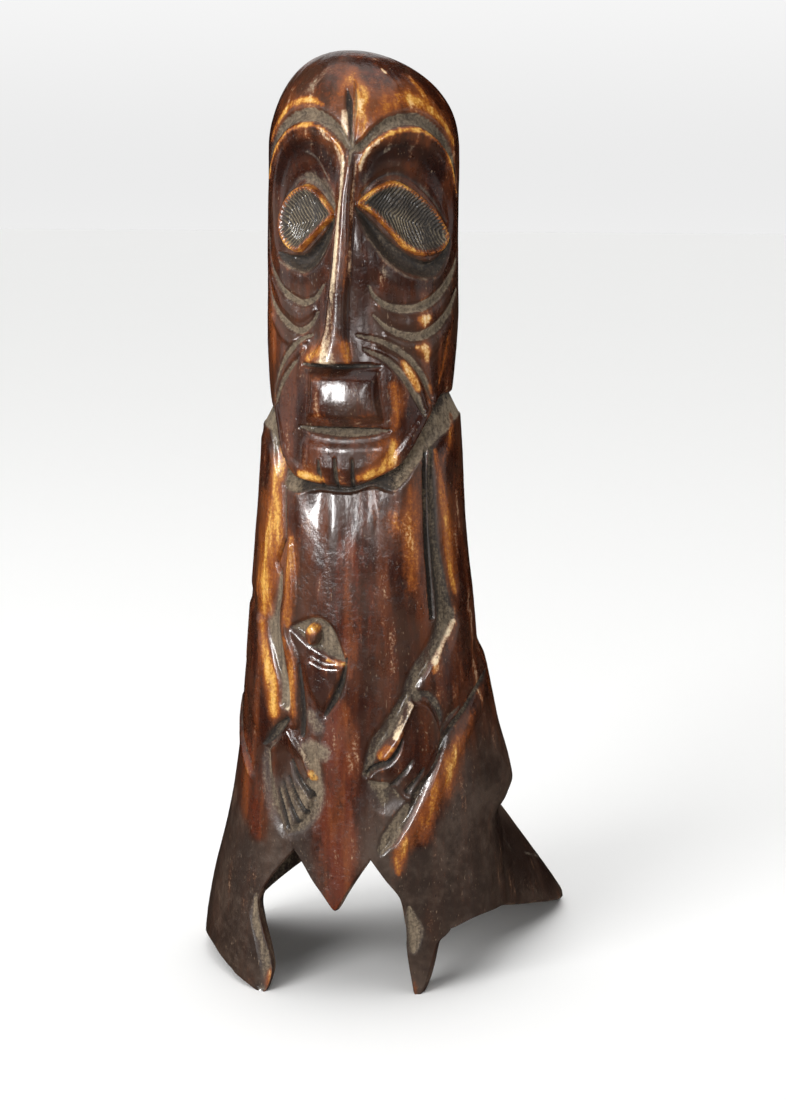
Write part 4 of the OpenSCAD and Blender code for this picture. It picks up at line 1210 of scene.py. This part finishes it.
class Value:
    """A number or colour in a node tree. The signs + - * make the nodes that join values."""

    def __init__(self, tree, socket):
        self.tree, self.socket = tree, socket

    def node(self, kind, output, inputs, **settings):
        """A new node in the same tree, with values or plain numbers put in."""
        n = self.tree.nodes.new(kind)
        for name, setting in settings.items():
            setattr(n, name, setting)
        for name, value in inputs.items():
            if isinstance(value, Value):
                self.tree.links.new(value.socket, n.inputs[name])
            else:
                n.inputs[name].default_value = value
        return Value(self.tree, n.outputs[output])

    def math(self, operation, other=0.0, clamp=False):
        return self.node("ShaderNodeMath", 0, {0: self, 1: other}, operation=operation, use_clamp=clamp)

    def __add__(self, other):
        return self.math("ADD", other)

    def __sub__(self, other):
        return self.math("SUBTRACT", other)

    def __mul__(self, other):
        return self.math("MULTIPLY", other)

    def ramp(self, low, high):
        """0 below the low value, 1 above the high one, with a soft step between."""
        return self.node("ShaderNodeMapRange", "Result", {"Value": self, "From Min": low, "From Max": high},
                         interpolation_type="SMOOTHSTEP")

    def mix(self, a, b):
        """Colour a where this value is 0 and b where it is 1."""
        return self.node("ShaderNodeMix", 2, {0: self, 6: a, 7: b}, data_type="RGBA")

    def noise(self, scale, detail=3.0, rough=0.5, along=1.0):
        """Noise over these coordinates, drawn out along the bone where along is under 1."""
        where = self
        if along != 1.0:
            where = self.node("ShaderNodeMapping", "Vector", {"Vector": self, "Scale": (1.0, 1.0, along)})
        inputs = {"Vector": where, "Scale": scale, "Detail": detail, "Roughness": rough}
        return self.node("ShaderNodeTexNoise", "Fac", inputs)


def coordinates(tree, kind):
    return Value(tree, tree.nodes.new("ShaderNodeTexCoord").outputs[kind])


def bone_material(name, gloss, grain):
    """Stained, handled bone: a dark stain, rubbed through to amber and pale bone where hands and
    edges have worn it, pale dirt in the cuts, painted shadow in the sockets, creases and deeper cuts,
    painted highlights along the nose and on the forehead, and the pores of the bone running lengthwise."""
    material = bpy.data.materials.new(name)
    material.use_nodes = True
    tree = material.node_tree
    tree.nodes.clear()
    where = coordinates(tree, "Object")
    amber, cream_and_highlight, glow, painted_shade_and_tone, red, soil, dirt, dark_dirt_and_shade, low, edge, hollow, eye, stroke = (
        where.node("ShaderNodeAttribute", "Fac", {}, attribute_name=key) for key in FINISH_KEYS)

    cloud = where.noise(70.0, 3.0, 0.55)
    blotch = where.noise(260.0, 4.0, 0.6, along=0.22)
    streak = where.noise(210.0, 3.0, 0.55, along=0.09)
    grit = where.noise(520.0, 4.0, 0.62)
    fine = where.noise(1500.0, 3.0, 0.6)
    fibre = where.noise(1100.0, 2.0, 0.5, along=0.06)
    patch = where.noise(160.0, 2.0, 0.5).ramp(0.42, 0.62)
    pore = where.noise(2600.0, 1.0, 0.4, along=0.18).ramp(0.68, 0.76) * patch
    fleck = where.noise(3100.0, 0.0, 0.5, along=0.3).ramp(0.74, 0.80) * patch
    wander = blotch * 0.7 + fine * 0.3 - 0.5

    def broken(value, spread, low, high):
        """A soft step whose border wanders with the stain."""
        return (value + wander * spread).ramp(low, high)

    soil = broken(soil, 1.8, 0.15, 0.95)
    rubbed = amber.math("MAXIMUM", edge * 0.27)
    stroke = (stroke * (2 * math.pi)).math("COSINE")
    reddish = streak.ramp(0.44, 0.68).mix(rgb("662a14"), rgb("8c4a20"))
    lowest = (cloud * 0.6 + grit * 0.4).ramp(0.4, 0.62).mix(rgb("372d26"), rgb("524338"))
    dark_dirt_and_shade_colour = fine.ramp(0.3, 0.75).mix(rgb("1a1510"), rgb("41372a"))
    earth = (fine * 0.4 + fibre * 0.35 + cloud * 0.25).ramp(0.34, 0.66).mix(rgb("4a3e31"), rgb("8f7e67"))
    scratch = (wander - stroke * 0.14).ramp(-0.02, 0.16) * eye * (painted_shade_and_tone * -0.6 + 0.62)

    # one coat of colour over the other: how much of it, and the colour
    base = cloud.ramp(0.35, 0.66).mix(rgb("31150c"), rgb("42291c"))
    for share, colour in (
            (blotch.ramp(0.44, 0.78), rgb("5f2d17")),
            (streak.ramp(0.48, 0.74) * 0.6, rgb("6c3516")),
            (grit.ramp(0.52, 0.74) * 0.4, rgb("1f0e09")),
            (broken(red, 3.2, 0.3, 1.2) * 0.8, reddish),
            (broken(low, 1.2, 0.2, 1.0) * 0.8, lowest),
            (broken(glow, 2.0, 0.1, 0.8) * 0.7, rgb("7d421b")),
            # painted shadow in the sockets, round the eyes, by the nose and at the face's sides; darker tone
            # on the legs
            (broken(painted_shade_and_tone, 1.4, 0.1, 0.9) * 0.7, rgb("1f0e0a")),
            (soil * 0.55, rgb("45372b")),
            (broken(rubbed, 2.6, 0.22, 0.75), rgb("84431a")),
            (broken(rubbed, 3.4, 0.48, 1.1), rgb("b57327")),
            (broken(amber, 3.8, 0.78, 1.35), rgb("e0ad54")),
            # worn pale bone, partly painted highlight along the nose's left edge and on the forehead
            (broken(cream_and_highlight, 3.0, 0.3, 0.95), rgb("e8d3b0")),
            # dark dirt, and painted shadow in the deeper cuts, under the jaw and between the fingers
            (broken(dark_dirt_and_shade, 1.4, 0.2, 0.8) * 0.85, dark_dirt_and_shade_colour),
            (scratch, rgb("8b7c60")),
            (broken(dirt, 2.2, 0.3, 0.85) * 0.9, earth),
            # painted shadow in the creases, weaker where dirt fills them
            (hollow.ramp(0.5, 1.0) * (dirt * -0.4 + 0.6), rgb("170e09")),
            (pore * 0.7, rgb("1c0f0a")),
            (fleck * 0.4, rgb("a48a70"))):
        base = share.mix(base, colour)

    rough = (cloud.ramp(0.3, 0.8) * 0.12 + (0.22 + (1 - gloss) * 0.2) + broken(dirt, 0.8, 0.15, 0.7) * 0.5
             + grit.ramp(0.45, 0.7) * 0.08 + dark_dirt_and_shade * 0.3 + soil * 0.12)
    rough = rough.math("ADD", low * 0.08, clamp=True)
    height = (fine * (dirt + 0.3) - grit.ramp(0.48, 0.8) * 0.45 + fibre * (0.3 * grain) + dark_dirt_and_shade * fine * 0.9
              - pore * 0.8 - stroke * eye * 0.35)
    bumped = height.node("ShaderNodeBump", "Normal", {"Strength": 0.5, "Distance": 0.00025, "Height": height})
    surface = bumped.node("ShaderNodeBsdfPrincipled", "BSDF", {
        "Base Color": base, "Roughness": rough, "Normal": bumped, "IOR": 1.5, "Specular IOR Level": 0.35,
        "Coat Weight": 0.2 * gloss, "Coat Roughness": 0.12, "Coat IOR": 1.5})
    out = tree.nodes.new("ShaderNodeOutputMaterial")
    tree.links.new(surface.socket, out.inputs["Surface"])
    return material


AMBER_PIECES = ("brow_ridge", "eye", "nose_ridge", "navel_knob", "cloak_edge_left", "upper_arm_right")


def slot_of(name):
    if name in ("neck_collar", "lower_lip"):
        return "grimed_bone"
    if name.startswith(AMBER_PIECES):
        return "amber_bone"
    return "patina_bone"


# ---------------------------------------------------------------- stage, lights and camera

def floor_material():
    material = bpy.data.materials.new("pale_floor")
    material.use_nodes = True
    shader = material.node_tree.nodes["Principled BSDF"]
    share = coordinates(material.node_tree, "Object").noise(3.0) * 0.05
    material.node_tree.links.new(share.mix(rgb("fbfbfa"), rgb("e8e8e6")).socket, shader.inputs["Base Color"])
    shader.inputs["Roughness"].default_value = 0.8
    shader.inputs["Specular IOR Level"].default_value = 0.0
    return material


def area_light(name, place_at, size, power):
    """A rectangular light, turned to the figure's middle."""
    data = bpy.data.lights.new(name, "AREA")
    data.shape = "RECTANGLE"
    data.size, data.size_y = size
    data.energy = power
    light = bpy.data.objects.new(name, data)
    light.location = place_at
    light.rotation_euler = (Vector((0, -0.02, 0.13)) - Vector(place_at)).to_track_quat("-Z", "Y").to_euler()
    bpy.context.scene.collection.objects.link(light)
    return light


def make_floor():
    mesh = bpy.data.meshes.new("floor")
    reach = 6.0
    mesh.from_pydata([(-reach, -reach, 0), (reach, -reach, 0), (reach, reach, 0), (-reach, reach, 0)],
                     [], [(0, 1, 2, 3)])
    mesh.materials.append(floor_material())
    floor = bpy.data.objects.new("floor", mesh)
    bpy.context.scene.collection.objects.link(floor)
    floor.visible_glossy = False


def make_world():
    """White round the horizon, a little darker at it, as far ground is, and dim high above."""
    world = bpy.data.worlds.new("studio")
    bpy.context.scene.world = world
    world.use_nodes = True
    background = world.node_tree.nodes["Background"]
    direction = coordinates(world.node_tree, "Generated")
    height = direction.node("ShaderNodeSeparateXYZ", "Z", {"Vector": direction}).math("ABSOLUTE")
    near_horizon, white, dim = (0.89, 0.89, 0.89, 1), (1, 1, 1, 1), (0.1, 0.1, 0.1, 1)
    sky = height.ramp(0.2, 0.42).mix(height.ramp(0.0, 0.12).mix(near_horizon, white), dim)
    world.node_tree.links.new(sky.socket, background.inputs["Color"])
    background.inputs["Strength"].default_value = 0.94
    world.cycles_visibility.glossy = False


def make_lights():
    """A broad light above and a key in front, which reflections don't show, and a few lights that
    only reflections show, for clean glints on the dark polish."""
    sun = bpy.data.lights.new("ceiling", "SUN")
    sun.energy, sun.angle = 2.2, math.radians(80)
    ceiling = bpy.data.objects.new("ceiling", sun)
    ceiling.rotation_euler = (math.radians(-6), 0, 0)
    bpy.context.scene.collection.objects.link(ceiling)
    key = area_light("key", (-0.45, -0.8, 0.6), (0.5, 0.6), 7)
    for light in (ceiling, key):
        light.visible_glossy = False
    for name, place_at, size, power in (
            ("window", (-0.29, -0.82, 0.37), (0.08, 0.36), 12.5),
            ("second_window", (0.30, -0.82, 0.40), (0.12, 0.30), 3.5),
            ("room_left", (-1.4, -0.3, 0.5), (1.0, 1.2), 4),
            ("room_right", (1.4, -0.2, 0.5), (1.0, 1.2), 3),
            ("room_back", (-0.5, 1.5, 0.9), (0.7, 0.9), 1.6),
            ("room_above", (0.0, 0.0, 1.5), (1.2, 1.2), 6)):
        area_light(name, place_at, size, power).visible_diffuse = False


def make_camera():
    """The photograph's angle: a little to the figure's left and a little above."""
    azimuth, elevation, distance = math.radians(12.5), math.radians(11), 0.490
    target = Vector((0.00712, -0.01599, 0.1083))
    level = math.cos(elevation)
    back = Vector((math.sin(azimuth) * level, -math.cos(azimuth) * level, math.sin(elevation)))
    data = bpy.data.cameras.new("camera")
    data.lens, data.sensor_width = 63.93, 36
    data.clip_start, data.clip_end = 0.01, 50
    camera = bpy.data.objects.new("camera", data)
    camera.location = target + back * distance
    camera.rotation_euler = (-back).to_track_quat("-Z", "Y").to_euler()
    bpy.context.scene.collection.objects.link(camera)
    bpy.context.scene.camera = camera


finishes = [("patina_bone", 1.0, 1.0), ("amber_bone", 1.0, 1.0), ("grimed_bone", 0.6, 1.4)]
materials = {name: bone_material(name, gloss, grain) for name, gloss, grain in finishes}
for name, piece in build_pieces(materials).items():
    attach(piece, "root")
    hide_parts(name)

make_floor()
make_world()
make_lights()
make_camera()
bpy.context.scene.view_settings.view_transform = "Standard"
